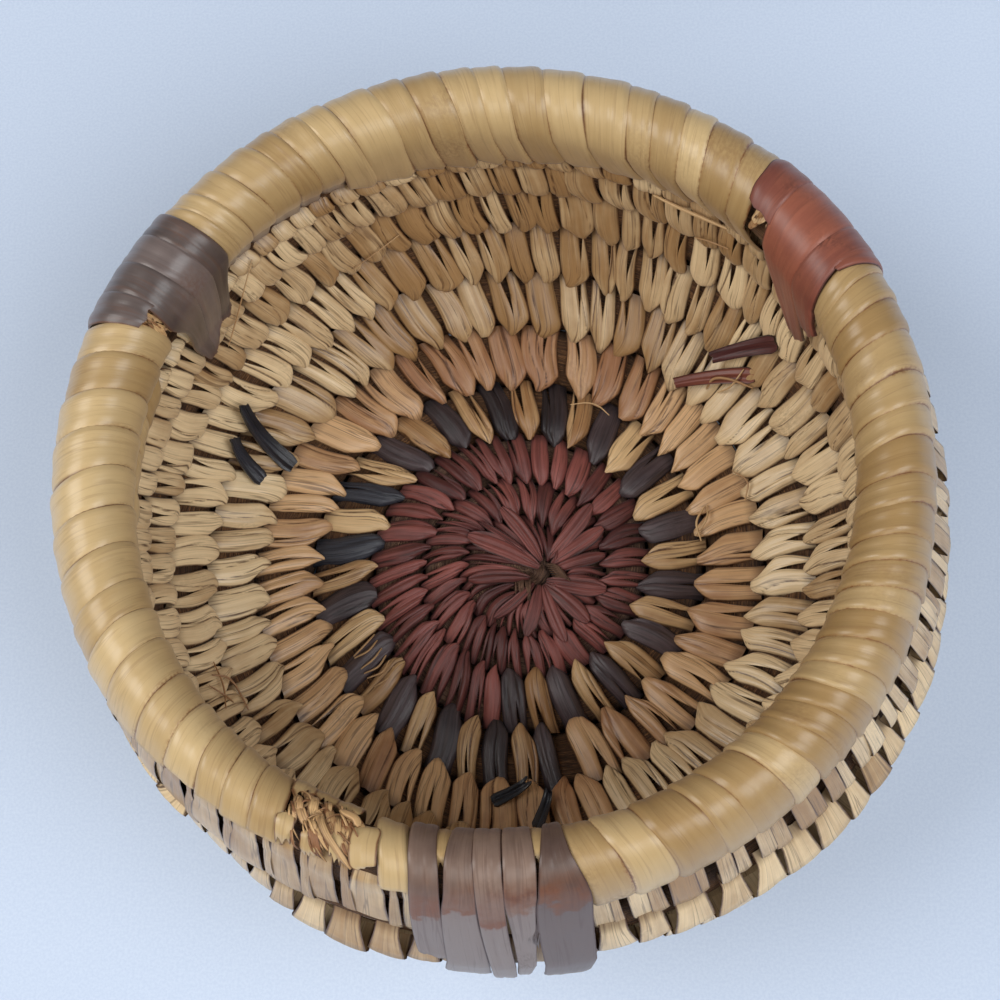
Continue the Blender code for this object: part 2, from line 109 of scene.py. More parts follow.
TOP_RADIUS, TOP_HEIGHT = (float(v) for v in profile(ROW_TOP, 0.0))
RIM_DROP = math.hypot(RIM_HW * math.sin(LEAN), RIM_HH * math.cos(LEAN))
RIM_RADIUS = TOP_RADIUS + DEPTH / 2 * math.sin(SLOPE) - RIM_INSET
RIM_HEIGHT = TOP_HEIGHT + RIM_DROP + PIECE_GAP


def in_space(radius, height, angle):
    """World position of a wall point; the upper wall sits a little to one side."""
    share = np.clip(height / RIM_HEIGHT, 0.0, 1.0) ** 3
    turn = np.radians(angle)
    x = radius * np.cos(turn) + OFFSET_X * share + SHIFT_X
    y = radius * np.sin(turn) + OFFSET_Y * share + SHIFT_Y
    z = np.maximum(height + BASE_RISE, 0.0)
    return np.stack(np.broadcast_arrays(x, y, z), -1) * MM


def wall(along, depth, angle):
    """World position of a wall point; the first turns are drawn towards an off-centre hole."""
    radius, height = profile(along, depth)
    points = in_space(radius, height, angle)
    drawn = (1 - np.minimum(np.abs(along) / DRIFT_REACH, 1.0) ** 2) ** 2
    drawn = np.broadcast_to(drawn, points.shape[:-1])
    points[..., 0] += CENTRE_DRIFT[0] * drawn * MM
    points[..., 1] += CENTRE_DRIFT[1] * drawn * MM
    return points


def rim(around, inset, angle):
    """World position on the rim's oval section; around is 0 outside, 90 on top, 180 inside."""
    a = np.radians(around)
    away = np.abs(np.mod(angle - SLIM_CENTRE + 180.0, 360.0) - 180.0)
    slim = SLIM * np.cos(np.pi / 2 * np.minimum(away / SLIM_REACH, 1.0)) ** 2
    away = np.abs(np.mod(angle - FLAT_CENTRE + 180.0, 360.0) - 180.0)
    slim = slim + FLAT * np.cos(np.pi / 2 * np.minimum(away / FLAT_REACH, 1.0)) ** 2
    wide = (RIM_HW - inset) * np.cos(a) - slim * np.maximum(np.cos(a), 0.0)
    tall = (RIM_HH - inset) * np.sin(a)
    radius = RIM_RADIUS + wide * math.cos(LEAN) + tall * math.sin(LEAN)
    height = RIM_HEIGHT - wide * math.sin(LEAN) + tall * math.cos(LEAN)
    turn = np.radians(angle)
    x = radius * np.cos(turn) + OFFSET_X + SHIFT_X
    y = radius * np.sin(turn) + OFFSET_Y + SHIFT_Y
    return np.stack(np.broadcast_arrays(x, y, height + BASE_RISE), -1) * MM


def smooth(xs, ys, q):
    """Smooth curve through a few points, flat beyond its ends."""
    xs = np.asarray(xs, float)
    ys = np.asarray(ys, float)
    q = np.clip(np.asarray(q, float), xs[0], xs[-1])
    slope = np.gradient(ys, xs)
    i = np.clip(np.searchsorted(xs, q, side="right") - 1, 0, len(xs) - 2)
    h = xs[i + 1] - xs[i]
    t = (q - xs[i]) / h
    a = ys[i] * (1 + 2 * t) * (1 - t) ** 2 + ys[i + 1] * t * t * (3 - 2 * t)
    return a + h * (slope[i] * t * (1 - t) ** 2 - slope[i + 1] * t * t * (1 - t))


class Build:
    """Collects grids of points into one mesh with UVs in millimetres and a leaf attribute."""

    def __init__(self):
        self.verts = []
        self.faces = []
        self.uvs = []
        self.leaf = []
        self.count = 0

    def grid(self, points, u, v, tone, side, along, spare, towards=None, wrap=False):
        rows, cols = points.shape[:2]
        shape = (rows, cols)
        idx = self.count + np.arange(rows * cols).reshape(shape)
        a, b = idx[:-1, :-1], idx[:-1, 1:]
        c, d = idx[1:, 1:], idx[1:, :-1]
        quads = np.stack([a, b, c, d], -1).reshape(-1, 4)
        if wrap:
            a, b = idx[:-1, -1], idx[:-1, 0]
            c, d = idx[1:, 0], idx[1:, -1]
            quads = np.concatenate([quads, np.stack([a, b, c, d], -1).reshape(-1, 4)])
        if towards is not None:
            mid_r, mid_c = rows // 2, cols // 2
            p = points[mid_r, mid_c]
            du = points[mid_r, min(mid_c + 1, cols - 1)] - points[mid_r, mid_c - 1]
            dv = points[min(mid_r + 1, rows - 1), mid_c] - points[mid_r - 1, mid_c]
            if np.dot(np.cross(du, dv), towards - p) < 0:
                quads = quads[:, ::-1]
        self.verts.append(points.reshape(-1, 3))
        self.faces.append(quads)
        full = [np.broadcast_to(x, shape).reshape(-1) for x in (u, v, tone, side, along, spare)]
        self.uvs.append(np.stack(full[:2], -1))
        self.leaf.append(np.stack(full[2:], -1))
        self.count += rows * cols
        return idx

    def skirt(self, ids):
        """Faces that close a ring of vertices between two open borders."""
        self.faces.append(np.asarray(ids, int).reshape(-1, 4))

    def make(self, name, material, replaces=(), slot=None):
        verts = np.concatenate(self.verts)
        faces = np.concatenate(self.faces)
        uvs = np.concatenate(self.uvs)
        leaf = np.concatenate(self.leaf)
        mesh = bpy.data.meshes.new(name)
        mesh.vertices.add(len(verts))
        mesh.vertices.foreach_set("co", verts.astype(np.float32).ravel())
        mesh.loops.add(len(faces) * 4)
        mesh.loops.foreach_set("vertex_index", faces.astype(np.int32).ravel())
        mesh.polygons.add(len(faces))
        mesh.polygons.foreach_set("loop_start", np.arange(0, len(faces) * 4, 4, dtype=np.int32))
        mesh.update(calc_edges=True)
        mesh.validate()
        uv = mesh.uv_layers.new(name="UVMap")
        order = np.zeros(len(mesh.loops), np.int32)
        mesh.loops.foreach_get("vertex_index", order)
        uv.data.foreach_set("uv", uvs[order].astype(np.float32).ravel())
        attribute = mesh.color_attributes.new(name="leaf", type="FLOAT_COLOR", domain="POINT")
        attribute.data.foreach_set("color", leaf.astype(np.float32).ravel())
        mesh.polygons.foreach_set("use_smooth", np.ones(len(mesh.polygons), bool))
        obj = bpy.data.objects.new(name, mesh)
        bpy.context.scene.collection.objects.link(obj)
        mesh.materials.append(material)
        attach(obj, "root")
        if replaces:
            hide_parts(*replaces)
        return obj


# Materials.


class Nodes:
    """A short way to write shader nodes."""

    def __init__(self, name):
        self.material = bpy.data.materials.new(name)
        self.material.use_nodes = True
        self.tree = self.material.node_tree
        self.shader = self.tree.nodes["Principled BSDF"]

    def new(self, kind, **values):
        node = self.tree.nodes.new(kind)
        for key, value in values.items():
            setattr(node, key, value)
        return node

    def link(self, source, target):
        if hasattr(source, "is_output"):
            self.tree.links.new(source, target)
        elif isinstance(source, (int, float)):
            target.default_value = source
        else:
            target.default_value = (*source, 1.0) if len(source) == 3 else source

    def math(self, operation, a, b=0.0, c=0.0):
        node = self.new("ShaderNodeMath", operation=operation)
        for source, target in zip((a, b, c), node.inputs):
            self.link(source, target)
        return node.outputs[0]

    def plus(self, a, b):
        return self.math("ADD", a, b)

    def minus(self, a, b):
        return self.math("SUBTRACT", a, b)

    def times(self, a, b):
        return self.math("MULTIPLY", a, b)

    def mix(self, factor, a, b, blend="MIX"):
        node = self.new("ShaderNodeMix", data_type="RGBA", blend_type=blend)
        self.link(factor, node.inputs[0])
        self.link(a, node.inputs[6])
        self.link(b, node.inputs[7])
        return node.outputs[2]

    def step(self, value, low, high, out_low=0.0, out_high=1.0):
        node = self.new("ShaderNodeMapRange", interpolation_type="SMOOTHSTEP")
        for source, target in zip((value, low, high, out_low, out_high), node.inputs):
            self.link(source, target)
        return node.outputs[0]

    def noise(self, vector, scale=1.0, detail=3.0, rough=0.5, distortion=0.0):
        node = self.new("ShaderNodeTexNoise")
        self.link(vector, node.inputs["Vector"])
        node.inputs["Scale"].default_value = scale
        node.inputs["Detail"].default_value = detail
        node.inputs["Roughness"].default_value = rough
        node.inputs["Distortion"].default_value = distortion
        return node.outputs["Fac"]

    def stretched(self, vector, scale, offset=(0.0, 0.0, 0.0)):
        node = self.new("ShaderNodeMapping")
        self.link(vector, node.inputs["Vector"])
        node.inputs["Scale"].default_value = scale
        node.inputs["Location"].default_value = offset
        return node.outputs[0]

    def bump(self, height, strength, distance, normal=None):
        node = self.new("ShaderNodeBump")
        node.inputs["Strength"].default_value = strength
        node.inputs["Distance"].default_value = distance
        self.link(height, node.inputs["Height"])
        if normal is not None:
            self.tree.links.new(normal, node.inputs["Normal"])
        return node.outputs[0]


def srgb(r, g, b):
    def one(v):
        v = v / 255.0
        return v / 12.92 if v <= 0.04045 else ((v + 0.055) / 1.055) ** 2.4

    return (one(r), one(g), one(b))


def leaf_material(name, low, high, stain_and_shade, roughness, fibre=1.0, edge_crease_shade_strength=0.45, stains=0.35,
                  specks=0.0, sheen=0.1, blotch_scale=90.0, coat=0.0, hairs=0.5, seam=0.0,
                  seam_colour=None, spread=1.0, dip=None):
    """Split leaf: lengthwise fibres and cracks, tone by leaf, stains and specks; dark edges that are partly
    the leaf's own brown and partly painted shade; painted shade in creases and on tucked-in ends.
    """
    n = Nodes(name)
    attribute = n.new("ShaderNodeAttribute", attribute_name="leaf")
    parts = n.new("ShaderNodeSeparateColor")
    n.link(attribute.outputs["Color"], parts.inputs[0])
    tone, side, along = parts.outputs
    spare = attribute.outputs["Alpha"]
    uv = n.new("ShaderNodeUVMap", uv_map="UVMap").outputs[0]
    place = n.new("ShaderNodeTexCoord").outputs["Object"]
    fine = n.noise(n.stretched(uv, (2.9, 0.07, 1.0)), 1.0, 4.0, 0.68)
    broad = n.noise(n.stretched(uv, (0.8, 0.06, 1.0), (7.0, 3.0, 0.0)), 1.0, 2.0, 0.5)
    crack = n.noise(n.stretched(uv, (0.75, 0.02, 1.0), (31.0, 5.0, 0.0)), 1.0, 2.0, 0.5)
    patch = n.noise(place, blotch_scale, 4.0, 0.55)
    grain = n.noise(n.stretched(uv, (1.6, 0.9, 1.0), (3.0, 9.0, 0.0)), 1.0, 4.0, 0.6)
    drift = n.minus(broad, 0.5)
    value = n.plus(tone, n.times(drift, (0.35 + 0.6 * fibre) * spread))
    value = n.plus(value, n.times(n.minus(patch, 0.5), 0.9 * spread))
    colour = n.mix(n.step(value, 0.0, 1.0), low, high)
    if dip:
        run = n.new("ShaderNodeSeparateXYZ")
        n.link(uv, run.inputs[0])
        ragged = n.minus(n.noise(place, 110.0, 4.0, 0.6), 0.5)
        run = n.plus(run.outputs[1], n.times(ragged, 16.0))
        nearing = n.step(run, -6.0, 2.0)
        rusty = n.times(nearing, n.step(n.noise(place, 170.0, 3.0, 0.6), 0.34, 0.6, 0.4, 0.95))
        colour = n.mix(rusty, colour, dip[0])
        bleached = n.mix(n.step(tone, 0.2, 0.6), dip[1], dip[2])
        colour = n.mix(n.times(n.step(run, 4.0, 5.4), 0.9), colour, bleached)
    stripe = n.step(fine, 0.34, 0.66, 1.0 - 0.2 * fibre, 1.0 + 0.13 * fibre)
    shade = n.new("ShaderNodeCombineColor")
    for socket in shade.inputs[:3]:
        n.link(stripe, socket)
    colour = n.mix(1.0, colour, shade.outputs[0], "MULTIPLY")
    line = n.step(n.math("ABSOLUTE", n.minus(crack, 0.5)), 0.006, 0.034, 1.0, 0.0)
    line = n.times(line, n.step(broad, 0.4, 0.56))
    colour = n.mix(n.times(line, hairs), colour, stain_and_shade)
    stained = n.times(n.step(patch, 0.52, 0.72), n.step(grain, 0.35, 0.65))
    stained = n.times(stained, n.step(spare, 0.35, 0.95, 0.25, 1.0))
    colour = n.mix(n.times(stained, stains), colour, stain_and_shade)
    if seam:
        near = n.times(n.step(side, 0.12, 0.8), n.step(grain, 0.42, 0.62))
        near = n.times(near, n.step(n.noise(place, 45.0, 3.0, 0.6), 0.47, 0.62))
        colour = n.mix(n.times(near, seam), colour, seam_colour)
    # Edges and creases marked in the side attribute are darkened: painted shade where leaves roll under and
    # fold, at the edges partly also the leaves' own brown.
    edge_crease_shade = n.times(n.step(side, 0.5, 0.9), n.step(grain, 0.2, 0.6, 0.7, 1.0))
    colour = n.mix(n.times(edge_crease_shade, edge_crease_shade_strength), colour, stain_and_shade)
    # Leaf ends are darkened: painted shade where they tuck under the rows, under the rim and into the coil;
    # on the dyed tails partly their own darker tips.
    ends = n.math("MAXIMUM", n.step(along, -0.05, -0.22), n.step(along, 0.8, 1.05))
    colour = n.mix(n.times(ends, 0.55), colour, stain_and_shade)
    if specks:
        dots = n.new("ShaderNodeTexVoronoi")
        n.link(n.stretched(uv, (1.3, 1.0, 1.0)), dots.inputs["Vector"])
        spot = n.times(n.step(dots.outputs["Distance"], 0.17, 0.08), n.step(spare, 0.5, 0.7))
        colour = n.mix(n.times(spot, specks), colour, stain_and_shade)
    n.link(colour, n.shader.inputs["Base Color"])
    gloss = n.plus(n.times(n.minus(fine, 0.5), 0.08 + 0.25 * fibre), roughness)
    gloss = n.plus(gloss, n.times(stained, 0.12))
    n.link(gloss, n.shader.inputs["Roughness"])
    n.shader.inputs["Sheen Weight"].default_value = sheen
    n.shader.inputs["Sheen Roughness"].default_value = 0.4
    n.shader.inputs["Coat Weight"].default_value = coat
    n.shader.inputs["Coat Roughness"].default_value = 0.35
    low_bump = n.bump(broad, 0.5 * (0.4 + 0.6 * fibre), 0.0006)
    cracked = n.bump(line, -0.6 * hairs, 0.0003, low_bump)
    n.link(n.bump(fine, 0.5 * fibre, 0.0003, cracked), n.shader.inputs["Normal"])
    return n.material


def straw_material(name, low, high, blotch_and_groove_shade, across=2.1):
    """Grass stems laid side by side, each with its own tone, with painted shade darkening the grooves between
    them.
    """
    n = Nodes(name)
    uv = n.new("ShaderNodeUVMap", uv_map="UVMap").outputs[0]
    place = n.new("ShaderNodeTexCoord").outputs["Object"]
    wander = n.noise(n.stretched(uv, (0.15, 0.12, 1.0)), 1.0, 2.0, 0.5)
    bent = n.new("ShaderNodeVectorMath", operation="ADD")
    shift = n.new("ShaderNodeCombineXYZ")
    n.link(n.times(wander, 1.6), shift.inputs[0])
    n.link(uv, bent.inputs[0])
    n.link(shift.outputs[0], bent.inputs[1])
    cells = n.new("ShaderNodeTexVoronoi", feature="F1")
    n.link(n.stretched(bent.outputs[0], (across, 0.045, 1.0)), cells.inputs["Vector"])
    border = n.new("ShaderNodeTexVoronoi", feature="DISTANCE_TO_EDGE")
    n.link(n.stretched(bent.outputs[0], (across, 0.045, 1.0)), border.inputs["Vector"])
    cell = n.new("ShaderNodeSeparateColor")
    n.link(cells.outputs["Color"], cell.inputs[0])
    colour = n.mix(cell.outputs[0], low, high)
    patch = n.noise(place, 120.0, 3.0, 0.5)
    colour = n.mix(n.step(patch, 0.45, 0.75, 0.0, 0.5), colour, blotch_and_groove_shade)
    # Painted shade: a dark line along each border between stems.
    gap = n.step(border.outputs["Distance"], 0.12, 0.0)
    colour = n.mix(n.times(gap, 0.85), colour, blotch_and_groove_shade)
    n.link(colour, n.shader.inputs["Base Color"])
    n.shader.inputs["Roughness"].default_value = 0.7
    height = n.step(border.outputs["Distance"], 0.0, 0.3)
    n.link(n.bump(height, 0.9, 0.0005), n.shader.inputs["Normal"])
    return n.material


# Brown for real stains and for painted shade at leaf edges, creases and tucked-in ends.
BROWN = srgb(66, 33, 14)
SEAM_BROWN = srgb(132, 80, 42)
red_mat = leaf_material("red_leaf_look", srgb(78, 37, 36), srgb(150, 86, 79), srgb(34, 14, 14), 0.44,
                        fibre=0.9, edge_crease_shade_strength=0.85, stains=0.35, hairs=0.6)
tan_mat = leaf_material("tan_leaf_look", srgb(150, 108, 68), srgb(224, 190, 142), BROWN, 0.36,
                        fibre=0.5, specks=0.15, edge_crease_shade_strength=0.95, hairs=0.55, stains=0.3)
orange_mat = leaf_material("orange_leaf_look", srgb(154, 108, 74), srgb(220, 180, 134), BROWN, 0.36,
                           fibre=0.5, specks=0.15, edge_crease_shade_strength=0.95, hairs=0.55, stains=0.3)
buff_mat = leaf_material("buff_leaf_look", srgb(158, 122, 80), srgb(230, 204, 162), BROWN, 0.36,
                         fibre=0.45, specks=0.2, edge_crease_shade_strength=0.95, hairs=0.5, stains=0.3)
dark_mat = leaf_material("dark_leaf_look", srgb(40, 32, 36), srgb(88, 74, 77), srgb(18, 13, 15), 0.34,
                         stains=0.3, edge_crease_shade_strength=0.7)
black_mat = leaf_material("black_leaf_look", srgb(22, 22, 28), srgb(58, 60, 70), srgb(12, 11, 14), 0.3,
                          stains=0.3, edge_crease_shade_strength=0.7)
stem_mat = leaf_material("stem_look", srgb(156, 112, 72), srgb(214, 178, 130), BROWN, 0.45, edge_crease_shade_strength=0.5)
rim_mat = leaf_material("rim_leaf_look", srgb(160, 128, 82), srgb(208, 180, 132), srgb(104, 62, 32),
                        0.34, fibre=0.1, edge_crease_shade_strength=0.95, stains=0.42, specks=0.1, coat=0.08,
                        blotch_scale=40.0, hairs=0.2, seam=0.85, seam_colour=SEAM_BROWN, spread=0.7)
brick_mat = leaf_material("brick_leaf_look", srgb(104, 54, 46), srgb(164, 96, 72), srgb(58, 26, 22),
                          0.42, fibre=0.15, edge_crease_shade_strength=0.95, stains=0.75, blotch_scale=75.0, hairs=0.2)
grey_mat = leaf_material("grey_leaf_look", srgb(60, 49, 45), srgb(124, 110, 106), srgb(104, 64, 40),
                         0.32, fibre=0.12, edge_crease_shade_strength=0.85, stains=0.9, blotch_scale=70.0, hairs=0.25)
front_mat = leaf_material("front_leaf_look", srgb(84, 64, 56), srgb(136, 112, 98), srgb(66, 38, 28),
                          0.4, fibre=0.16, edge_crease_shade_strength=0.95, stains=0.7, blotch_scale=110.0, hairs=0.28,
                          dip=(srgb(114, 66, 36), srgb(96, 84, 82), srgb(128, 116, 112)))
torn_mat = leaf_material("torn_leaf_look", srgb(136, 90, 54), srgb(212, 172, 120), srgb(84, 46, 24),
                         0.5, edge_crease_shade_strength=0.6, stains=0.6, blotch_scale=120.0, hairs=0.5)
# The grass's dark colours are partly its own brown and partly painted shade, darkened for the deep gaps
# between stitches where it shows.
straw_mat = straw_material("straw_look", srgb(72, 38, 18), srgb(168, 118, 72), srgb(24, 10, 4))
red_straw_mat = straw_material("red_straw_look", srgb(92, 54, 44), srgb(196, 152, 122),
                               srgb(30, 12, 10))


# Stitch rows, from the centre out: where each one starts and ends, in degrees counted on along the
# coil, and its number of stitches. The ring of dark stitches lies after the third.
ROW_SPANS = [(-860.0, -444.0, 17), (-444.0, -80.0, 25), (-80.0, 258.5, 33), (643.0, 1009.0, 46),
             (1009.0, 1373.0, 55), (1373.0, 1719.0, 64), (1719.0, 2090.0, 74), (2090.0, 2451.0, 78),
             (2451.0, 2746.0, 64)]
WIDTH_SPREAD = 0.24
SMALLEST_ROW = 7.0

# The tail of the coil thins out under the rim, on a ridge of grass that fills the last gap.
TAIL_END = 6.995
RIM_SEAT = 2.5

# Ring of dark stitches, spaced as the frame's own.
DARK_COUNT = 20
DARK_FIRST = 265.0
DARK_STEP = 19.6
DARK_SWAY = 14.9
DARK_RIPPLE = -1.9
DARK_RIPPLE_WAVES = 4
RING_LOW = 258.5
RING_HIGH = 640.0

RING_START = (DARK_FIRST - DARK_STEP / 2 - START) / TURN
RING_END = RING_START + DARK_COUNT * DARK_STEP / 360.0
TAPER_END = FULL_TURNS + TOP_TURNS - COIL_START_WIDTH * 2 / TOP_PITCH
KNOT_END = (KNOT_RADIUS + COIL_START_WIDTH - RED_RADIUS) / RED_PITCH - 1
ROUNDS = [("red_round_1", KNOT_END, RING_START - 2), ("red_round_2", RING_START - 2, RING_START - 1),
          ("red_round_3", RING_START - 1, RING_START), ("ringed_round", RING_START, RING_END)]
ROUNDS += [("pale_round_%d" % (k + 1), RING_END + k, RING_END + k + 1) for k in range(5)]
ROUNDS += [("tapered_round", RING_END + 5, TAPER_END)]


def in_turns(angle):
    """Turn count of an angle counted on along the coil."""
    return (np.asarray(angle, float) - START) / TURN


def row_radius(turn):
    """Radius, on the bowl, of the middle of the row at a turn count."""
    middle = (edge(turn) + edge(np.asarray(turn) + 1)) / 2
    return profile(middle, 0.0)[0]


def lean_turns(turn, degrees):
    """Turns by which a stitch's outer end runs ahead of its inner end."""
    pitch = edge(np.asarray(turn) + 1) - edge(turn)
    return math.tan(math.radians(degrees)) * pitch / (2 * math.pi * row_radius(turn))


def strip_of_coil(b, q, x, depth, tone, side, spare, width, face, offset):
    """One leaf surface; q runs across the coil, x is the turn count, depth is from the face."""
    inner = np.maximum(edge(x), INNERMOST)
    pitch = edge(x + 1) - inner
    along = inner + pitch * q
    angle = START + TURN * x
    real = depth if face > 0 else DEPTH - depth
    points = wall(along, real, angle)
    outward = wall(along, real - face * 3.0, angle)
    middle = (points.shape[0] // 2, points.shape[1] // 2)
    b.grid(points, width + offset[0], pitch * q + offset[1], tone, side, q, spare,
           towards=outward[middle])


INNER_DEPTH = ([-0.20, -0.15, -0.09, 0.0, 0.12, 0.32, 0.55, 0.75, 0.9, 1.06],
               [1.95, 1.0, 0.44, 0.02, -0.28, -0.42, -0.12, 0.42, 1.05, 1.9])
# Outer face of a stitch: tucked in under the row above, flaring to a hem that folds in below.
OUT_Q = [-0.02, 0.0, 0.035, 0.07, 0.12, 0.3, 0.6, 0.85, 1.0, 1.12]
OUT_DEPTH = [3.0, 2.2, 0.75, 0.12, -0.1, 0.15, 0.75, 1.45, 2.3, 3.6]


def stitch(b, tips, tops, splits, rng, tone=0.5, reach=1.3, fill=0.92, gap=2.4, lift=0.0,
           apex=(0.22, 0.55), rows=17, round_mm=3.2, crown=0.7, belly=0.84,
           point=(0.0, 0.4)):
    """A split leaf stitch: a leaf-shaped tip at one side of the coil, forked at the other."""
    turn = (tips[0] + tips[1]) / 2
    pitch = float(edge(turn + 1) - max(edge(turn), INNERMOST))
    around = 2 * math.pi * float(row_radius(turn))
    spacing = tips[1] - tips[0]
    centre = turn + spacing * rng.uniform(-0.05, 0.05)
    half_tip = spacing / 2 * fill * rng.uniform(0.94, 1.08)
    q0 = -reach * rng.uniform(0.7, 1.3) / pitch
    q = q0 + (1.05 - q0) * np.linspace(0, 1, rows) ** 1.1
    bounds_top = [tops[0]] + sorted(splits) + [tops[1]]
    lobes = len(bounds_top) - 1
    weights = np.diff(bounds_top)
    weights = 0.6 * weights / weights.sum() + 0.4 / lobes
    shares = np.concatenate([[0.0], np.cumsum(weights)])
    tilt = rng.uniform(-0.3, 0.3)
    raised = lift + rng.uniform(-0.18, 0.14)
    spare = rng.random()
    offset = (rng.uniform(0, TEXTURE_SHIFT), rng.uniform(0, TEXTURE_SHIFT))
    late = np.clip((q - 0.35) / 0.65, 0.0, 1.0)
    waist = 1 - (1 - belly * rng.uniform(0.9, 1.06)) * late * late * (3 - 2 * late)
    sway = rng.uniform(-0.09, 0.13) * spacing * np.sin(np.pi * np.clip(q, 0, 1))
    lines = []
    for k, part in enumerate(shares):
        tip = centre - half_tip + 2 * half_tip * part
        top = bounds_top[k]
        if k in (0, lobes):
            middle = (tops[0] + tops[1]) / 2
            line = tip_line(tip, top, centre, middle, np.clip(q, 0.0, 1.2))
            axis = centre + (middle - centre) * np.clip(q, 0.0, 1.2)
            lines.append(axis + (line - axis) * waist + sway)
        else:
            lines.append(tip + (top - tip) * np.clip(q, 0, 1.2) ** 1.1 + sway)
    start = q0 + round_mm * rng.uniform(0.75, 1.25) / pitch
    curl = np.clip((start - q) / (start - q0), 0.0, 1.0)
    pinch = 1.0 - (1.0 - rng.uniform(*point)) * curl ** rng.uniform(1.15, 1.9)
    skew = rng.uniform(-0.55, 0.55) * (1 - pinch)
    knots = np.linspace(-1.2, 1.2, 8)
    facets = np.array([rng.uniform(-0.27, 0.27) for _ in knots])
    bends = [(rng.uniform(-0.75, 0.75), rng.uniform(0.1, 0.38), rng.uniform(-0.6, 0.6))
             for _ in range(rng.choice((1, 2, 2, 3)))]
    middle_line = (lines[0] + lines[-1]) / 2
    half_line = np.maximum((lines[-1] - lines[0]) / 2, 1e-6)
    w = np.linspace(-1, 1, (15, 11, 7)[min(lobes, 3) - 1])[None, :]
    for k in range(lobes):
        left, right = lines[k].copy(), lines[k + 1].copy()
        for side, line in ((0, left), (1, right)):
            if (k + side) in (0, lobes):
                continue
            start_gap = rng.uniform(*apex)
            open_to = gap / 2 * rng.uniform(0.15, 1.25) / around
            spread = open_to * np.clip((q - start_gap) / (1 - start_gap), 0, 1.2)
            line += (-spread if side else spread)
        left = middle_line + (left - middle_line) * pinch + skew * half_line
        right = middle_line + (right - middle_line) * pinch + skew * half_line
        right = np.maximum(right, left + 0.08 * half_line)
        x = (left + right)[:, None] / 2 + (right - left)[:, None] / 2 * w
        half = half_line[:, None]
        whole = np.clip((x - middle_line[:, None] - (skew * half_line)[:, None]) / half, -1.15, 1.15)
        depth = smooth(INNER_DEPTH[0], INNER_DEPTH[1], q)[:, None] - raised
        shaped = np.abs(whole / np.maximum(pinch[:, None], 0.4))
        depth = depth + crown * np.minimum(shaped, 1.2) ** 2.4 + tilt * whole
        split = np.clip((q[:, None] - 0.25) / 0.5, 0, 1)
        depth = depth + (0.08 + 0.5 * split) * np.abs(w) ** 4
        depth = depth + 0.4 * np.clip((shaped - 0.82) / 0.18, 0, 1) ** 2
        depth = depth + np.interp(whole, knots, facets) * np.clip(q[:, None] * 3 + 0.6, 0, 1)
        depth = depth + rng.uniform(-0.14, 0.14) * split
        # The side attribute marks the edges and each bend's valley, which the leaf material darkens as
        # painted shade; at the edges partly the leaf's own brown.
        side = np.maximum(np.minimum(shaped, 1.0) ** 6, np.abs(w) ** 7 * 0.95 * (0.3 + 0.7 * split))
        for place, deep, drift in bends:
            valley = np.exp(-((whole - place - drift * (q[:, None] - 0.4)) / 0.11) ** 2)
            depth = depth + deep * valley
            side = np.maximum(side, valley * (0.5 + 1.1 * deep))
        width = whole * spacing * around / 2
        strip_of_coil(b, q[:, None], x, depth, tone + rng.uniform(-0.1, 0.1), side, spare,
                      width, 1, offset)


def tip_line(tip, top, centre, middle, t):
    """Edge of a stitch: it swells out quickly from the tip and then runs to its outer end."""
    swell = 1 - (1 - np.clip(t / 0.42, 0, 1)) ** 2
    centre_line = centre + (middle - centre) * t
    half_low = tip - centre
    half_high = top - middle
    return centre_line + half_low + (half_high - half_low) * swell


# Slant of the stitches, degrees: its mean, its swing, and where round the bowl it is greatest.
SLANT_MEAN = 10.0
SLANT_SWING = 6.0
SLANT_MOST = 160.0


def lean_at(turn):
    angle = math.radians(START + TURN * turn - SLANT_MOST)
    return SLANT_MEAN + SLANT_SWING * math.cos(angle)


# The last rows flare out most at the front right and front left.
FLARE = ([0, 225, 236, 243, 250, 258, 270, 285, 297, 310, 320, 335, 350, 362],
         [0, 0, 0.3, 2.0, 2.8, 1.9, 1.0, 0.5, 1.6, 2.5, 2.8, 2.0, 0.8, 0])


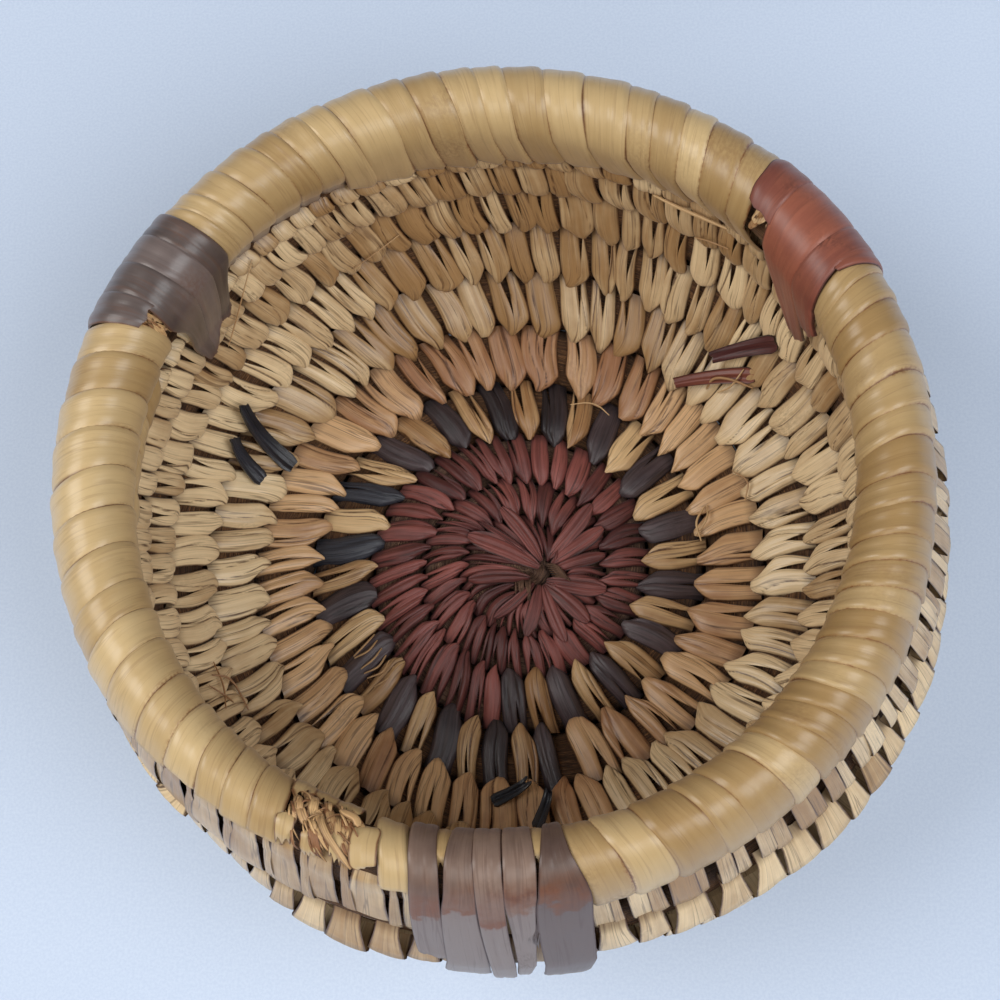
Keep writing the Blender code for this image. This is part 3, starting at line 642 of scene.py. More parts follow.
def stitch_out(b, tips, rng, tone, fill=1.0, flare=0.0):
    """The back of a stitch: narrow where it comes out, wide at the folded hem below."""
    turn = (tips[0] + tips[1]) / 2
    around = 2 * math.pi * float(row_radius(turn))
    spacing = tips[1] - tips[0]
    shift = float(lean_turns(turn, lean_at(turn) + rng.uniform(-3, 3)))
    q = np.array([-0.02, 0.0, 0.03, 0.06, 0.1, 0.18, 0.32, 0.48, 0.64, 0.8, 0.92, 1.02, 1.12])
    share = np.clip((q - 0.1) / 0.75, 0.0, 1.0) ** 0.8
    half = spacing / 2 * fill * (1.06 - rng.uniform(0.22, 0.5) * share)
    middle = turn + shift * 0.8 * (q - 0.2) + spacing * rng.uniform(-0.1, 0.1) * share
    w = np.linspace(-1, 1, 9)[None, :]
    x = middle[:, None] + half[:, None] * w
    hem = rng.uniform(-0.05, 0.05) * w + 0.035 * (1 - w * w) + rng.uniform(-0.015, 0.015)
    qq = q[:, None] - hem * np.clip(1 - (q[:, None] - 0.1) / 0.4, 0, 1)
    depth = smooth(OUT_Q, OUT_DEPTH, q)[:, None] + 0.3 * np.abs(w) ** 3
    spot = (START + TURN * turn) % 360.0
    bulge = smooth([-0.02, 0.02, 0.1, 0.35, 0.7, 1.0], [0.0, 0.6, 1.0, 0.8, 0.35, 0.0], q)
    depth = depth - flare * float(smooth(FLARE[0], FLARE[1], spot)) * bulge[:, None]
    depth = depth + rng.uniform(-0.3, 0.3) * w + rng.uniform(-0.15, 0.1)
    fold = rng.uniform(-0.6, 0.6)
    crease = np.exp(-((w - fold * (1 - q[:, None])) / 0.12) ** 2) * rng.uniform(0.1, 0.3)
    depth = depth + crease * np.clip(q[:, None] + 0.2, 0, 1)
    # The crease is marked in the side attribute and darkened as painted shade in the fold.
    side = np.maximum(np.abs(w) ** 5, np.clip(crease * 3 - 0.1, 0, 0.9))
    strip_of_coil(b, qq, x, depth, tone, side, rng.random(), w * spacing * around / 2,
                  -1, (rng.uniform(0, TEXTURE_SHIFT), rng.uniform(0, TEXTURE_SHIFT)))


def dark_centre(index):
    """Angle at the middle of a dark stitch; the spacing opens and closes round the ring."""
    wave = math.pi * index / (DARK_COUNT - 1)
    sway = DARK_SWAY * math.sin(wave) + DARK_RIPPLE * math.sin(DARK_RIPPLE_WAVES * wave)
    return DARK_FIRST + index * DARK_STEP + sway


def row_of_gaps(first, last, count, rng):
    """Gaps between the stitches of a row, in turns; hand-sewn widths differ a little."""
    widths = []
    for turn in in_turns(np.linspace(first, last, count)):
        spread = rng.uniform(1 - WIDTH_SPREAD, 1 + WIDTH_SPREAD)
        widths.append(spread / max(float(row_radius(turn)), SMALLEST_ROW))
    shares = np.concatenate([[0.0], np.cumsum(widths)]) / sum(widths)
    return list(in_turns(first + (last - first) * shares))


# The rows as gap positions in turns; each row's gaps also say where the last row is forked.
rng = random.Random(17)
row_gaps = [row_of_gaps(*span, rng) for span in ROW_SPANS]
darks = [dark_centre(k) for k in range(DARK_COUNT)]
marks = sorted(darks + [(a + b) / 2 for a, b in zip(darks[:-1], darks[1:])])
ring_gaps = [(a + b) / 2 for a, b in zip(marks[:-1], marks[1:])]
row_gaps.insert(3, list(in_turns([RING_LOW] + ring_gaps + [RING_HIGH])))

builds = {name: Build() for name, _, _ in ROUNDS}
for k in range(DARK_COUNT):
    builds["dark_stitch_%02d" % (k + 1)] = Build()


def round_at(turn):
    for name, first, last in ROUNDS:
        if first <= turn < last:
            return builds[name]
    return builds[name] if turn >= last else None


rng = random.Random(11)
STYLES = [
    dict(gap=1.2, reach=0.8, crown=0.5, round_mm=3.0, belly=0.8, point=(0.0, 0.4)),
    dict(gap=1.5, reach=1.2, crown=0.55, round_mm=3.6, belly=0.78, fill=0.98),
    dict(gap=1.7, reach=1.2, crown=0.55, round_mm=3.8, belly=0.76, fill=0.98),
    None,
    dict(gap=1.7, reach=2.0, belly=0.88, round_mm=5.4, fill=1.03, point=(0.0, 0.35)),
    dict(gap=1.8, reach=2.0, belly=0.88, round_mm=5.0, fill=1.03, point=(0.0, 0.35)),
    dict(gap=1.7, reach=1.8, belly=0.86, round_mm=4.4, fill=0.98, point=(0.0, 0.4)),
    dict(gap=1.5, reach=1.5, belly=0.88, round_mm=3.2, fill=0.96, point=(0.15, 0.6)),
    dict(gap=1.2, reach=1.3, belly=0.9, round_mm=2.2, fill=0.96, point=(0.35, 0.8)),
    dict(gap=1.2, reach=1.3, belly=0.92, round_mm=2.0, fill=0.96, point=(0.4, 0.85)),
]


# How much paler or darker the pale leaves are made, by the angle round the bowl: darker at the back, paler at
# the left and the right.
TONE_BY_ANGLE = ([0, 40, 90, 130, 160, 210, 250, 300, 360],
         [0.18, 0.05, -0.34, -0.05, 0.22, 0.22, -0.02, 0.05, 0.18])


def centres_of(gaps):
    return [(a + b) / 2 for a, b in zip(gaps[:-1], gaps[1:])]


def tone_by_angle(turn):
    return float(smooth(TONE_BY_ANGLE[0], TONE_BY_ANGLE[1], (START + TURN * turn) % TURN))


all_centres = [c for gaps in row_gaps for c in centres_of(gaps)]

for number, gaps in enumerate(row_gaps):
    style = STYLES[number]
    tops = [t + float(lean_turns(t, lean_at(t) + rng.uniform(-2.5, 2.5))) for t in gaps]
    for k in range(len(gaps) - 1):
        margin = (tops[k + 1] - tops[k]) * 0.2
        low, high = tops[k] + 1 + margin, tops[k + 1] + 1 - margin
        splits = [c - 1 for c in all_centres if low < c < high]
        tone = min(max(rng.gauss(0.52, 0.17), 0.0), 1.0)
        tips, ends = (gaps[k], gaps[k + 1]), (tops[k], tops[k + 1])
        if number >= 3:
            tone = tone + tone_by_angle(gaps[k])
        if number == 3:
            dark = k % 2 == 0
            if dark:
                b = builds["dark_stitch_%02d" % (k // 2 + 1)]
                stitch(b, tips, ends, splits[:1] if rng.random() < 0.5 else [], rng, tone=tone,
                       fill=0.98, gap=0.7, reach=1.5, apex=(0.4, 0.7), crown=0.8, lift=-0.1,
                       round_mm=3.6, belly=0.8, point=(0.1, 0.5))
                stitch_out(b, tips, rng, tone, fill=0.98)
                continue
            style = dict(fill=1.04, gap=1.9, reach=1.7, belly=0.76, lift=0.25, point=(0.0, 0.25),
                         apex=(0.15, 0.45), round_mm=4.6)
        b = round_at((gaps[k] + gaps[k + 1]) / 2)
        if b is None:
            continue
        stitch(b, tips, ends, splits, rng, tone=tone, **style)
        stitch_out(b, tips, rng, tone, flare=1.0 if number >= 8 else 0.0)


# Grass foundations, one closed length of coil under the stitches of each round.


def squared(theta, power):
    c, s = np.cos(theta), np.sin(theta)
    return np.sign(c) * np.abs(c) ** power, np.sign(s) * np.abs(s) ** power


COIL_STEPS = 120
COIL_ROUNDNESS = 0.72
COIL_INSET = 1.75


def grass_coil(b, first, last, inset, seed, sides=28):
    """A closed length of the grass coil, its section a rounded square with lumps."""
    turns = np.linspace(first, last, max(int((last - first) * COIL_STEPS), 8))
    theta = np.linspace(0, 2 * math.pi, sides, endpoint=False)
    c, s = squared(theta, COIL_ROUNDNESS)
    inner = np.maximum(edge(turns), INNERMOST)
    seat = RIM_SEAT * np.clip((turns - (FULL_TURNS + TOP_TURNS - 1)) / 0.01, 0.0, 1.0)
    outer = edge(turns + 1) + seat
    half = np.maximum((outer - inner) / 2 - 0.25, 0.3)
    local = random.Random(seed)
    lumps = sum(local.uniform(0.1, 0.3)
                * np.sin(turns[:, None] * local.uniform(60, 260) + theta[None, :] * m)
                for m in (1, 2, 3))
    below = np.where(s < 0, 1.9 + 1.9 * (c + 1) / 2, inset)
    depth = DEPTH / 2 - (DEPTH / 2 - below[None, :]) * s[None, :] + 0.35 * lumps
    along = (inner + outer)[:, None] / 2 + half[:, None] * c[None, :]
    points = wall(along, depth, START + TURN * turns[:, None])
    radius = profile((inner + outer) / 2, 0.0)[0]
    length = np.concatenate([[0], np.cumsum(np.diff(turns) * 2 * math.pi * radius[1:])])
    cap = points.mean(1, keepdims=True)
    around = theta * 6.0
    half_way = len(points) // 2
    b.grid(points, around[None, :], length[:, None], 0.5, 0.0, 0.5, 0.5, wrap=True,
           towards=points[half_way, sides // 2] * 2 - cap[half_way, 0])
    for row in (0, -1):
        ring = np.stack([points[row], np.repeat(cap[row], sides, 0)])
        b.grid(ring, around[None, :], 0.0, 0.5, 0.0, 0.5, 0.5, wrap=True)


def look_of(name):
    """Leaf material, straw material and slot of a round."""
    if name.startswith("red_round"):
        return red_mat, red_straw_mat, "red_leaf"
    if name == "ringed_round":
        return tan_mat, straw_mat, "tan_leaf"
    if name == "pale_round_1":
        return orange_mat, straw_mat, "tan_leaf"
    return buff_mat, straw_mat, "buff_leaf"


for number, (name, first, last) in enumerate(ROUNDS):
    leaf, straw, slot = look_of(name)
    builds[name].make(name + "_stitches", leaf, (name,), slot)
    base = Build()
    grass_coil(base, first, TAIL_END if name == "tapered_round" else last, COIL_INSET, number)
    base.make(name + "_grass", straw, (name,), slot)
for k in range(DARK_COUNT):
    name = "dark_stitch_%02d" % (k + 1)
    builds[name].make(name + "_strap", black_mat if k in (12, 13) else dark_mat, (name,), "dark_leaf")


# Rim bundle and wraps.


def rim_grass(b, first, last, inset, sides=28):
    """The grass bundle inside the rim, closed at both ends."""
    angles = np.linspace(first, last, 120)
    theta = np.linspace(0, 360, sides, endpoint=False)
    points = rim(theta[None, :], inset + 0 * angles[:, None], angles[:, None])
    length = np.radians(angles) * RIM_RADIUS
    around = np.radians(theta) * 9.0
    b.grid(points, around[None, :], length[:, None], 0.5, 0.0, 0.5, 0.5, wrap=True,
           towards=rim(theta[sides // 2], 0.0, angles[60]))
    for row in (0, -1):
        ring = np.stack([points[row], np.repeat(points[row].mean(0)[None], sides, 0)])
        b.grid(ring, around[None, :], 0.0, 0.5, 0.0, 0.5, 0.5, wrap=True)


BUNDLE_START = 271.3
BUNDLE_LENGTH = 359.6
BUNDLE_INSET = 1.9

base = Build()
rim_grass(base, BUNDLE_START, BUNDLE_START + BUNDLE_LENGTH, BUNDLE_INSET)
base.make("rim_bundle_grass", straw_mat, ("rim_bundle",), "grass_bundle")

RIGHT_GAPS = [281.4, 287, 292.7, 299.5, 303.8, 309.7, 313.8, 317.2, 320.6, 324, 327.4, 331.6, 336,
              339.6, 343.3, 347, 351.5, 355.6, 360.9, 365.2, 370.0, 376, 380.5, 384.6, 387.6]
BACK_GAPS = [45.6, 49.8, 55.6, 59.8, 64.6, 68.6, 75.6, 81.7, 87.4, 91.7, 96.3, 101.6, 106.4, 113.2,
             117.5, 121.7, 125.6, 131.2, 135.8, 139.0, 141.6]
LEFT_GAPS = [158.9, 163.7, 169.7, 175.6, 181.9, 188.2, 194.2, 200.4, 205.4, 210.6, 217.2, 222.9,
             228.2, 232.7, 237.0, 241.8]
FRONT_GAPS = [255.6, 260.2]


def ripples(rng, share, low, high, counts):
    """A few small waves along a leaf laid over one another, each of its own height and start."""
    return sum(rng.uniform(low, high) * np.sin(share * f + rng.uniform(0, WAVE_START)) for f in counts)


def rim_slant(around):
    """How far a rim strip leans round the rim on its way over it, in degrees."""
    return 1.7 * np.cos(np.radians(around))


def run_lengths(points):
    """Distance along the middle of a grid of points, row by row, in millimetres."""
    middle = points[:, points.shape[1] // 2]
    steps = np.linalg.norm(np.diff(middle, axis=0), axis=1) / MM
    return np.concatenate([[0.0], np.cumsum(steps)])


def hem_at(angle):
    """Where round the section the rim strips fold in on the outer side."""
    return float(smooth([0, 190, 210, 222, 240, 262, 285, 320, 350, 360],
                        [-55, -50, -12, 20, 30, 20, -14, -18, -30, -55], angle % 360))


def foot_at(angle):
    """How far down the inner wall the rim strips reach, in millimetres; below 0 they end higher."""
    return float(smooth([0, 15, 27, 45, 57, 114, 122, 205, 330, 348, 360],
                        [1.0, 2.5, 3.2, 1.6, 0.5, 0.5, -1, -1, -1, 0, 1.0], angle % 360))


def last_at(angle):
    """Where round the section the strips that end on the rim itself are tucked in."""
    return float(smooth([0, 118, 150, 162, 200, 330, 360],
                        [205, 208, 206, 186, 180, 176, 205], angle % 360))


def rim_aged(angle):
    """How far the rim's leaves have browned, 0 to 1."""
    return float(smooth([0, 30, 50, 110, 150, 250, 290, 330, 360],
                        [1, 0.6, 0.2, 0.2, 0, 0, 0.3, 1, 1], angle % 360))


def rim_strip(b, low, high, rng):
    """A leaf strip over the bundle; its low edge lies on its neighbour, its high edge is lapped."""
    middle = (low + high) / 2
    hem = hem_at(middle) + rng.uniform(-3, 3)
    foot = foot_at(middle) + rng.uniform(-0.3, 0.5)
    last = last_at(middle) + rng.uniform(-4, 4)
    over = [(hem - 5, 2.4), (hem - 4.5, 1.3), (hem - 2.5, 0.3), (hem, -0.1)]
    tucked = foot < 0 and (last < 184 or middle % 360 > 300)
    turned = 205.0 + rng.uniform(-3, 3) if tucked else 158.0
    over += [(a, 0.0) for a in np.linspace(hem + 5, turned, 24)]
    hang = np.array([0.2, 0.4, 0.6, 0.8, 0.92, 1.0])
    if tucked:
        foot = rng.uniform(1.2, 2.4)
    rows, cols = len(over) + len(hang) + 2, 13
    share = np.linspace(0, 1, rows)
    beyond = np.linspace(turned, max(turned, 205), rows - len(over) + 1)[1:]
    around = np.concatenate([[a for a, _ in over], beyond])
    w = np.linspace(0, 1, cols) ** 0.9
    lap_deg = math.degrees(0.5 / RIM_RADIUS)
    wander = ripples(rng, share, 0.06, 0.2, (4, 9, 17))
    left, right = low - lap_deg * 0.6, high + lap_deg
    width_by = np.ones(rows)
    width_by[:3] = (0.45, 0.7, 0.9)
    width_by[-4:] = (0.98, 0.95, 0.86, 0.7) if rng.random() < 0.6 else (0.95, 0.84, 0.66, 0.45)
    angle = (left + right) / 2 + (right - left) * (w[None, :] - 0.5) * width_by[:, None]
    angle = angle + rim_slant(around)[:, None] + wander[:, None] * (1 - 0.8 * w[None, :])
    tilt = rng.uniform(-0.1, 0.22)
    inset = smooth([0.0, 0.02, 0.07, 0.5, 0.88, 1.0], [0.55, 0.12, -0.04, 0.02, 0.22, 0.62], w)[None, :]
    inset = inset + tilt * (w[None, :] - 0.5)
    dents = ripples(rng, share, 0.01, 0.04, (7, 13, 22))
    place = rng.uniform(0.3, 0.7)
    crease = np.exp(-((w[None, :] - place - 0.1 * np.sin(share[:, None] * 5)) / 0.07) ** 2)
    inset = inset + dents[:, None] * (0.6 + 0.8 * w[None, :]) + crease * rng.uniform(0.0, 0.07)
    points = np.empty(angle.shape + (3,))
    for i, (place, base) in enumerate(over):
        points[i] = rim(place, base + inset[i], angle[i])
    start = len(over)
    cut = 0.5 * np.sin(w * rng.uniform(2, 6) + rng.uniform(0, 6))
    for i, t in enumerate(hang):
        k = start + i
        if foot >= 0:
            end = wall(ROW_TOP - foot - cut, -0.7 + inset[k], angle[k])
        else:
            end = rim(last + 3 * cut, 0.1 + inset[k], angle[k])
        held = rim(turned, inset[k], angle[k])
        outward = np.array([math.cos(math.radians(middle)), math.sin(math.radians(middle)), 0])
        bow = 0.5 * math.sin(math.pi * t) * outward
        points[k] = held * (1 - t) + end * t - bow * MM
    for i, deep in ((-2, 0.35), (-1, 1.5)):
        if foot >= 0:
            points[i] = wall(ROW_TOP - foot - cut - 0.2, -0.7 + deep + inset[i], angle[i])
        else:
            points[i] = wall(ROW_TOP + 0.3, 0.6 + 1.8 * deep + inset[i], angle[i])
    length = run_lengths(points)
    width = math.radians(high - low) * RIM_RADIUS
    # The side attribute darkens the edges, painted shade where strips meet; the along values pass 0.8 on the
    # last rows, darkening the end tucked under the rim as painted shade.
    side = np.maximum(np.clip(1 - w / 0.07, 0, 1), np.clip((w - 0.8) / 0.2, 0, 1))[None, :] + 0 * angle
    b.grid(points, w[None, :] * width + rng.uniform(0, TEXTURE_SHIFT),
           length[:, None] + rng.uniform(0, TEXTURE_SHIFT),
           rng.uniform(0.25, 0.85) - 0.35 * rim_aged(middle), side,
           (0.02 + 0.86 * share + 0.12 * share ** 6)[:, None], rng.random(), towards=rim(90.0, -30.0, middle))


rng = random.Random(5)
for name, gaps in (("back", BACK_GAPS), ("left", LEFT_GAPS), ("front", FRONT_GAPS),
                   ("right", RIGHT_GAPS)):
    b = Build()
    for low, high in zip(gaps[:-1], gaps[1:]):
        rim_strip(b, low, high, rng)
    b.make("rim_leaves_" + name, rim_mat, ("rim_wrap_" + name,), "rim_leaf")


# Backs of the rim's sewing, under the rim strips: (where the dark gaps between them lie).
FLAP_GAPS = [190.0, 195.5, 201.0, 206.8, 212.4, 218.0, 223.5, 228.8, 235.3, 241.0, 246.5, 252.1, 258.6,
             264.5, 270.5, 276.5, 281.5, 286.3, 291.7, 297.9, 303.3, 309.2, 314.5, 319.4, 326.0, 330.6,
             335.0, 339.6, 344.2, 349.0, 354.0, 359.2, 364.5, 370.0, 375.5, 381.0]
FLAP_HEM_HEIGHT = 57.8
# How far out of the rim's side their hems stand.
FLAP_OUT = ([180, 190, 210, 230, 245, 262, 285, 300, 320, 335, 350, 365, 385, 400],
            [0.6, 1.5, 2.4, 3.2, 3.6, 4.2, 4.6, 4.8, 5.2, 5.6, 5.6, 5.0, 2.6, 0.6])


def flap_top(angle):
    """Where round the section a flap comes out, higher where the rim's wrap is torn away."""
    torn = np.clip(1.5 - np.abs(angle - 248.5) / 7.0, 0, 1)
    return max(hem_at(angle), 48.0 * float(torn))


def top_flap(b, low, high, rng, tone, narrow=0.3):
    """One flap from under a rim strip down to a folded hem outside the wall's last turn."""
    middle = (low + high) / 2
    top = flap_top(middle) + rng.uniform(-2, 2)
    w = np.linspace(-1, 1, 9)[None, :]
    rolls = [(top + 10, 2.3), (top + 2, 1.5)]
    rolls += [(a, 0.95) for a in np.linspace(top - 5, min(top - 6, -8.0), 6)]
    t = np.array([0.22, 0.45, 0.68, 0.86, 0.96, 1.0, 0.99, 0.93])
    share = np.concatenate([np.linspace(0, 0.35, len(rolls)), 0.35 + 0.65 * np.linspace(0.1, 1, len(t))])
    half = (high - low) / 2 * (1.05 - narrow * np.clip(1 - share / 0.85, 0, 1) ** 0.8)
    drift = rng.uniform(-0.5, 1.1) * share
    angle = middle + drift[:, None] + half[:, None] * w
    points = np.empty(angle.shape + (3,))
    bow = rng.uniform(0.1, 0.45)
    tilt = rng.uniform(-0.35, 0.35)
    for i, (around, inset) in enumerate(rolls):
        points[i] = rim(around, inset + 0.2 * w[0] ** 2 + tilt * 0.5 * w[0], angle[i])
    height = FLAP_HEM_HEIGHT + rng.uniform(-0.7, 0.7)
    reach = float(smooth(FLAP_OUT[0], FLAP_OUT[1], middle)) + rng.uniform(-0.3, 0.3)
    start = len(rolls)
    side = rim(0.0, 0.0, angle[start:])
    turn = np.radians(angle[start:])
    outward = np.stack([np.cos(turn), np.sin(turn), 0 * turn], -1)
    scallop = 0.7 * (1 - w * w) + rng.uniform(-0.5, 0.5) * w
    hem = side + outward * (reach + 0.25 - 0.3 * w * w)[..., None] * MM
    hem[..., 2] = (height - scallop) * MM
    base = rim(rolls[-1][0], 0.95, angle[start:])
    mix = t[:, None, None]
    lower = base + (hem - base) * mix
    lower = lower + outward * ((bow + tilt * w) * np.sin(np.pi * t[:, None]))[..., None] * MM
    tuck = np.array([0, 0, 0, 0, 0.05, 0.5, 1.5, 2.6])[:, None]
    lower = lower - outward * tuck[..., None] * MM
    points[start:] = lower
    fold = rng.uniform(-0.6, 0.6)
    # Painted shade along a fold: its line is marked dark in the side attribute together with the edges.
    dark = np.exp(-((w - fold * share[:, None]) / 0.12) ** 2) * rng.uniform(0.2, 0.7)
    edge_and_fold_shade = np.maximum(np.abs(w) ** 5 + 0 * angle, dark)
    length = run_lengths(points)
    b.grid(points, w * 2.4 + rng.uniform(0, TEXTURE_SHIFT), length[:, None] + rng.uniform(0, TEXTURE_SHIFT),
           tone,
           edge_and_fold_shade, 0.1 + 0.72 * share[:, None], rng.random(),
           towards=side[2, 4] + outward[2, 4] * 0.03)


rng = random.Random(33)
b = Build()
for low, high in zip(FLAP_GAPS[:-1], FLAP_GAPS[1:]):
    if high < 260.0:
        cut = high - (high - low) * rng.uniform(0.06, 0.16)
        top_flap(b, low - 0.2, cut, rng, min(max(rng.gauss(0.34, 0.15), 0), 1), narrow=0.44)
        top_flap(b, cut - 0.5, high + 0.9, rng, min(max(rng.gauss(0.3, 0.15), 0), 1), narrow=0.66)
        continue
    cut = low + (high - low) * rng.uniform(0.52, 0.72)
    gap = (high - low) * rng.uniform(0.1, 0.24)
    top_flap(b, low + gap, cut + 0.25, rng, min(max(rng.gauss(0.5, 0.18), 0), 1), narrow=0.12)
    top_flap(b, cut, high, rng, min(max(rng.gauss(0.5, 0.18), 0), 1), narrow=0.42)
b.make("tapered_round_top_flaps", buff_mat, ("tapered_round",), "buff_leaf")


def sheet(b, top, under, u, v, tone, side, along, spare, towards):
    """A thin leaf with two faces and a closed edge."""
    b.grid(top, u, v, tone, side, along, spare, towards=towards)
    centre = top[top.shape[0] // 2, top.shape[1] // 2]
    b.grid(under, u, v, tone, side, along, spare, towards=2 * centre - towards)
    shape = top.shape[:2]
    u, v, side, along = (np.broadcast_to(x, shape) for x in (u, v, side, along))
    ring = [(i, 0) for i in range(shape[0])] + [(shape[0] - 1, j) for j in range(1, shape[1])]
    ring += [(i, shape[1] - 1) for i in range(shape[0] - 2, -1, -1)]
    ring += [(0, j) for j in range(shape[1] - 2, 0, -1)]
    i, j = (np.array(x) for x in zip(*ring))
    # The closed edge is marked fully dark in the side attribute: partly the leaf's own brown edge and partly
    # painted shade.
    band = np.stack([top[i, j], under[i, j]])
    b.grid(band, u[i, j][None], v[i, j][None], tone, 1.0, along[i, j][None], spare, wrap=True,
           towards=band[0, len(ring) // 2] * 2 - centre)


def jagged(rng, w, size, lobes):
    """Uneven torn end: how much shorter the leaf is at each place across it."""
    line = np.zeros_like(w)
    for _ in range(lobes):
        size_here = rng.uniform(0.2, 1.0)
        away = (w - rng.uniform(0, 1)) / rng.uniform(0.08, 0.25)
        line = line + size_here * np.exp(-away ** 2)
    line = line + 0.6 * np.abs(2 * w - 1) ** 3
    return size * line / max(line.max(), 1e-6)


def band_strip(name, low, high, ends, side, rng, material, slot, tone, nodes=None, stop=None,
               stand=0.0, lap=0.45, raised=0.0, loose=False, tuck=1.0, soaked=0.0):
    """A dyed strip over the rim. low and high give its edges at its far end, on top, where it leaves
    the rim, where it meets the wall and at its torn tip; ends is the tip's reach down the wall
    across it, or how unevenly it ends where it stops on the rim. A loose tail hangs straight and off
    the wall. tuck is how far the edges turn in, and soaked is where the dye's dipped end begins."""
    cols = 17
    w = np.linspace(0, 1, cols)
    torn = np.interp(w, np.linspace(0, 1, len(ends)), ends)
    torn = torn + 0.35 * np.sin(w * rng.uniform(9, 16) + rng.uniform(0, 6)) + 0.15 * np.sin(w * 37)
    first, turned = (-52.0, 150.0) if side < 0 else (205.0, 26.0)
    leaves = turned
    if stop is not None:
        turned = stop
    steps = 34
    count = 0 if stop is not None else 22
    hang = 8.5 if side < 0 else 20.0
    share = np.linspace(0, 1, steps + count)
    places = np.concatenate([np.linspace(0, 1, steps) * (turned - first) / (leaves - first),
                             1 + np.linspace(0, 1, count + 1)[1:]])
    knots = (0.0, (90.0 - first) / (leaves - first), 1.0, 1.5, 2.0)
    lap = math.degrees(lap / RIM_RADIUS)
    left, right = smooth(knots, low, places) - lap, smooth(knots, high, places) + lap
    wander = ripples(rng, share, 0.02, 0.08, (5, 11, 19))
    angle = left[:, None] + (right - left)[:, None] * w[None, :] + wander[:, None]
    inset = tuck * smooth([0.0, 0.03, 0.09, 0.5, 0.9, 1.0], [0.5, 0.12, 0.0, 0.0, 0.14, 0.5], w)[None, :]
    waves = ripples(rng, share, 0.01, 0.035, (6, 13, 23))
    place, deep = rng.uniform(0.25, 0.75), rng.uniform(0.04, 0.14)
    fold = np.exp(-((w[None, :] - place - 0.12 * np.sin(share[:, None] * 4)) / 0.06) ** 2)
    inset = inset + waves[:, None] * (0.3 + w[None, :]) + deep * fold
    inset = inset - raised * np.clip(1 - share[:, None] * 2.2, 0, 1) * (1 - w[None, :])
    top = np.empty((steps + count, cols, 3))
    under = np.empty((steps + count, cols, 3))
    for i in range(steps):
        reached = turned + (2.2 * torn if stop is not None else 0 * w)
        around = first + (reached - first) * i / (steps - 1)
        top[i] = rim(around, -0.75 + inset[i], angle[i])
        under[i] = rim(around, -0.35 + inset[i], angle[i])
    for i in range(count):
        k = steps + i
        met = torn if loose else np.clip(torn * 0.75, 0.3, 5.5)
        run = (hang + torn - met) * ((i + 1) / count) ** 0.95
        t = np.clip(run / hang, 0, 1)[:, None]
        down = met + np.clip(run - hang, 0, None)
        far = np.clip(down / 12.0, 0, 1)
        for skin, thick in ((top, 0.0), (under, 0.4)):
            lift = 1.15 + stand * far + 0.2 * math.sin(5.0 * i / count) - inset[k] - thick
            if loose:
                lift = np.interp(torn, (-6.0, 0.0, 6.0, 14.0), (7.4, 5.8, 4.2, 2.8)) - inset[k] - thick
            depth = -lift if side < 0 else DEPTH + lift
            start = rim(turned, -0.75 + inset[k] + thick, angle[k])
            beyond = (16.0 if loose else 24.0) if side < 0 else -18.0
            ahead = rim(turned + beyond, -1.3 + inset[k] + thick, angle[k])
            end = wall(ROW_TOP - down, depth, angle[k])
            bend = (1 - t) ** 2 * start + 2 * t * (1 - t) * ahead + t * t * end
            skin[k] = np.where(run[:, None] < hang, bend, end)
    length = run_lengths(top)
    length = length - length[steps - 1] - soaked if side > 0 else length + rng.uniform(0, TEXTURE_SHIFT)
    width = math.radians(float(np.mean(np.subtract(high, low)))) * RIM_RADIUS
    # Painted shade along the fold, deeper folds darker, and at the edges, marked in the side attribute.
    dark = np.maximum(np.abs(2 * w - 1)[None, :] ** 9 * 0.95, fold * (0.3 + 2 * deep))
    b = Build()
    tail = stop is None and side < 0
    power = 1.8 if loose else 3 if tail else 8
    sheet(b, top, under, w[None, :] * width + rng.uniform(0, TEXTURE_SHIFT), length[:, None],
          tone, dark, 0.1 + 0.86 * share[:, None] ** power, rng.random(),
          rim(90.0, -30.0, float(np.mean(low + high))))
    b.make(name + "_leaf", material, nodes or (name,), slot)


def ribbon(b, path, width, rng, tone, taper=(0.6, 0.4), curl=0.25, thick=0.25, jag=0.0):
    """A leaf strip through (around, angle, lift) places on the rim."""
    path = np.asarray(path, float)
    knots = np.linspace(0, 1, len(path))
    rows, cols = 4 * len(path) + 2, 7
    t = np.linspace(0, 1, rows)
    around, angle, lift = (smooth(knots, path[:, k], t) for k in range(3))
    w = np.linspace(-1, 1, cols)[None, :]
    line = rim(around, -lift, angle)
    step = np.gradient(line, axis=0)
    step /= np.linalg.norm(step, axis=1)[:, None]
    out = rim(around, -lift - 5.0, angle) - line
    out /= np.linalg.norm(out, axis=1)[:, None]
    across = np.cross(step, out)
    shape = np.minimum(1.0, np.minimum(taper[0] + 5 * t, taper[1] + 5 * (1 - t)))
    half = (width / 2 * shape)[:, None] * w * MM
    cup = (curl * w * w + 0.08 * np.cos(w * 7 + rng.uniform(0, 6))) * MM
    torn = (rng.uniform(-jag, jag) * w + jag * np.cos(w * rng.uniform(5, 9))) * (t[:, None] ** 6) * MM
    top = line[:, None] + across[:, None] * half[..., None] - out[:, None] * (cup + 0 * half)[..., None]
    top = top + step[:, None] * torn[..., None]
    under = top - out[:, None] * thick * MM
    length = run_lengths(top)
    # The edges are marked dark in the side attribute: partly the leaf's own brown edge and partly painted
    # shade.
    sheet(b, top, under, w * width / 2 + rng.uniform(0, SMALL_SHIFT),
          length[:, None] + rng.uniform(0, SMALL_SHIFT), tone,
          np.abs(w) ** 5 + 0 * half, 0.1 + 0.8 * t[:, None], rng.random(),
          line[rows // 2] + out[rows // 2] * 0.03)


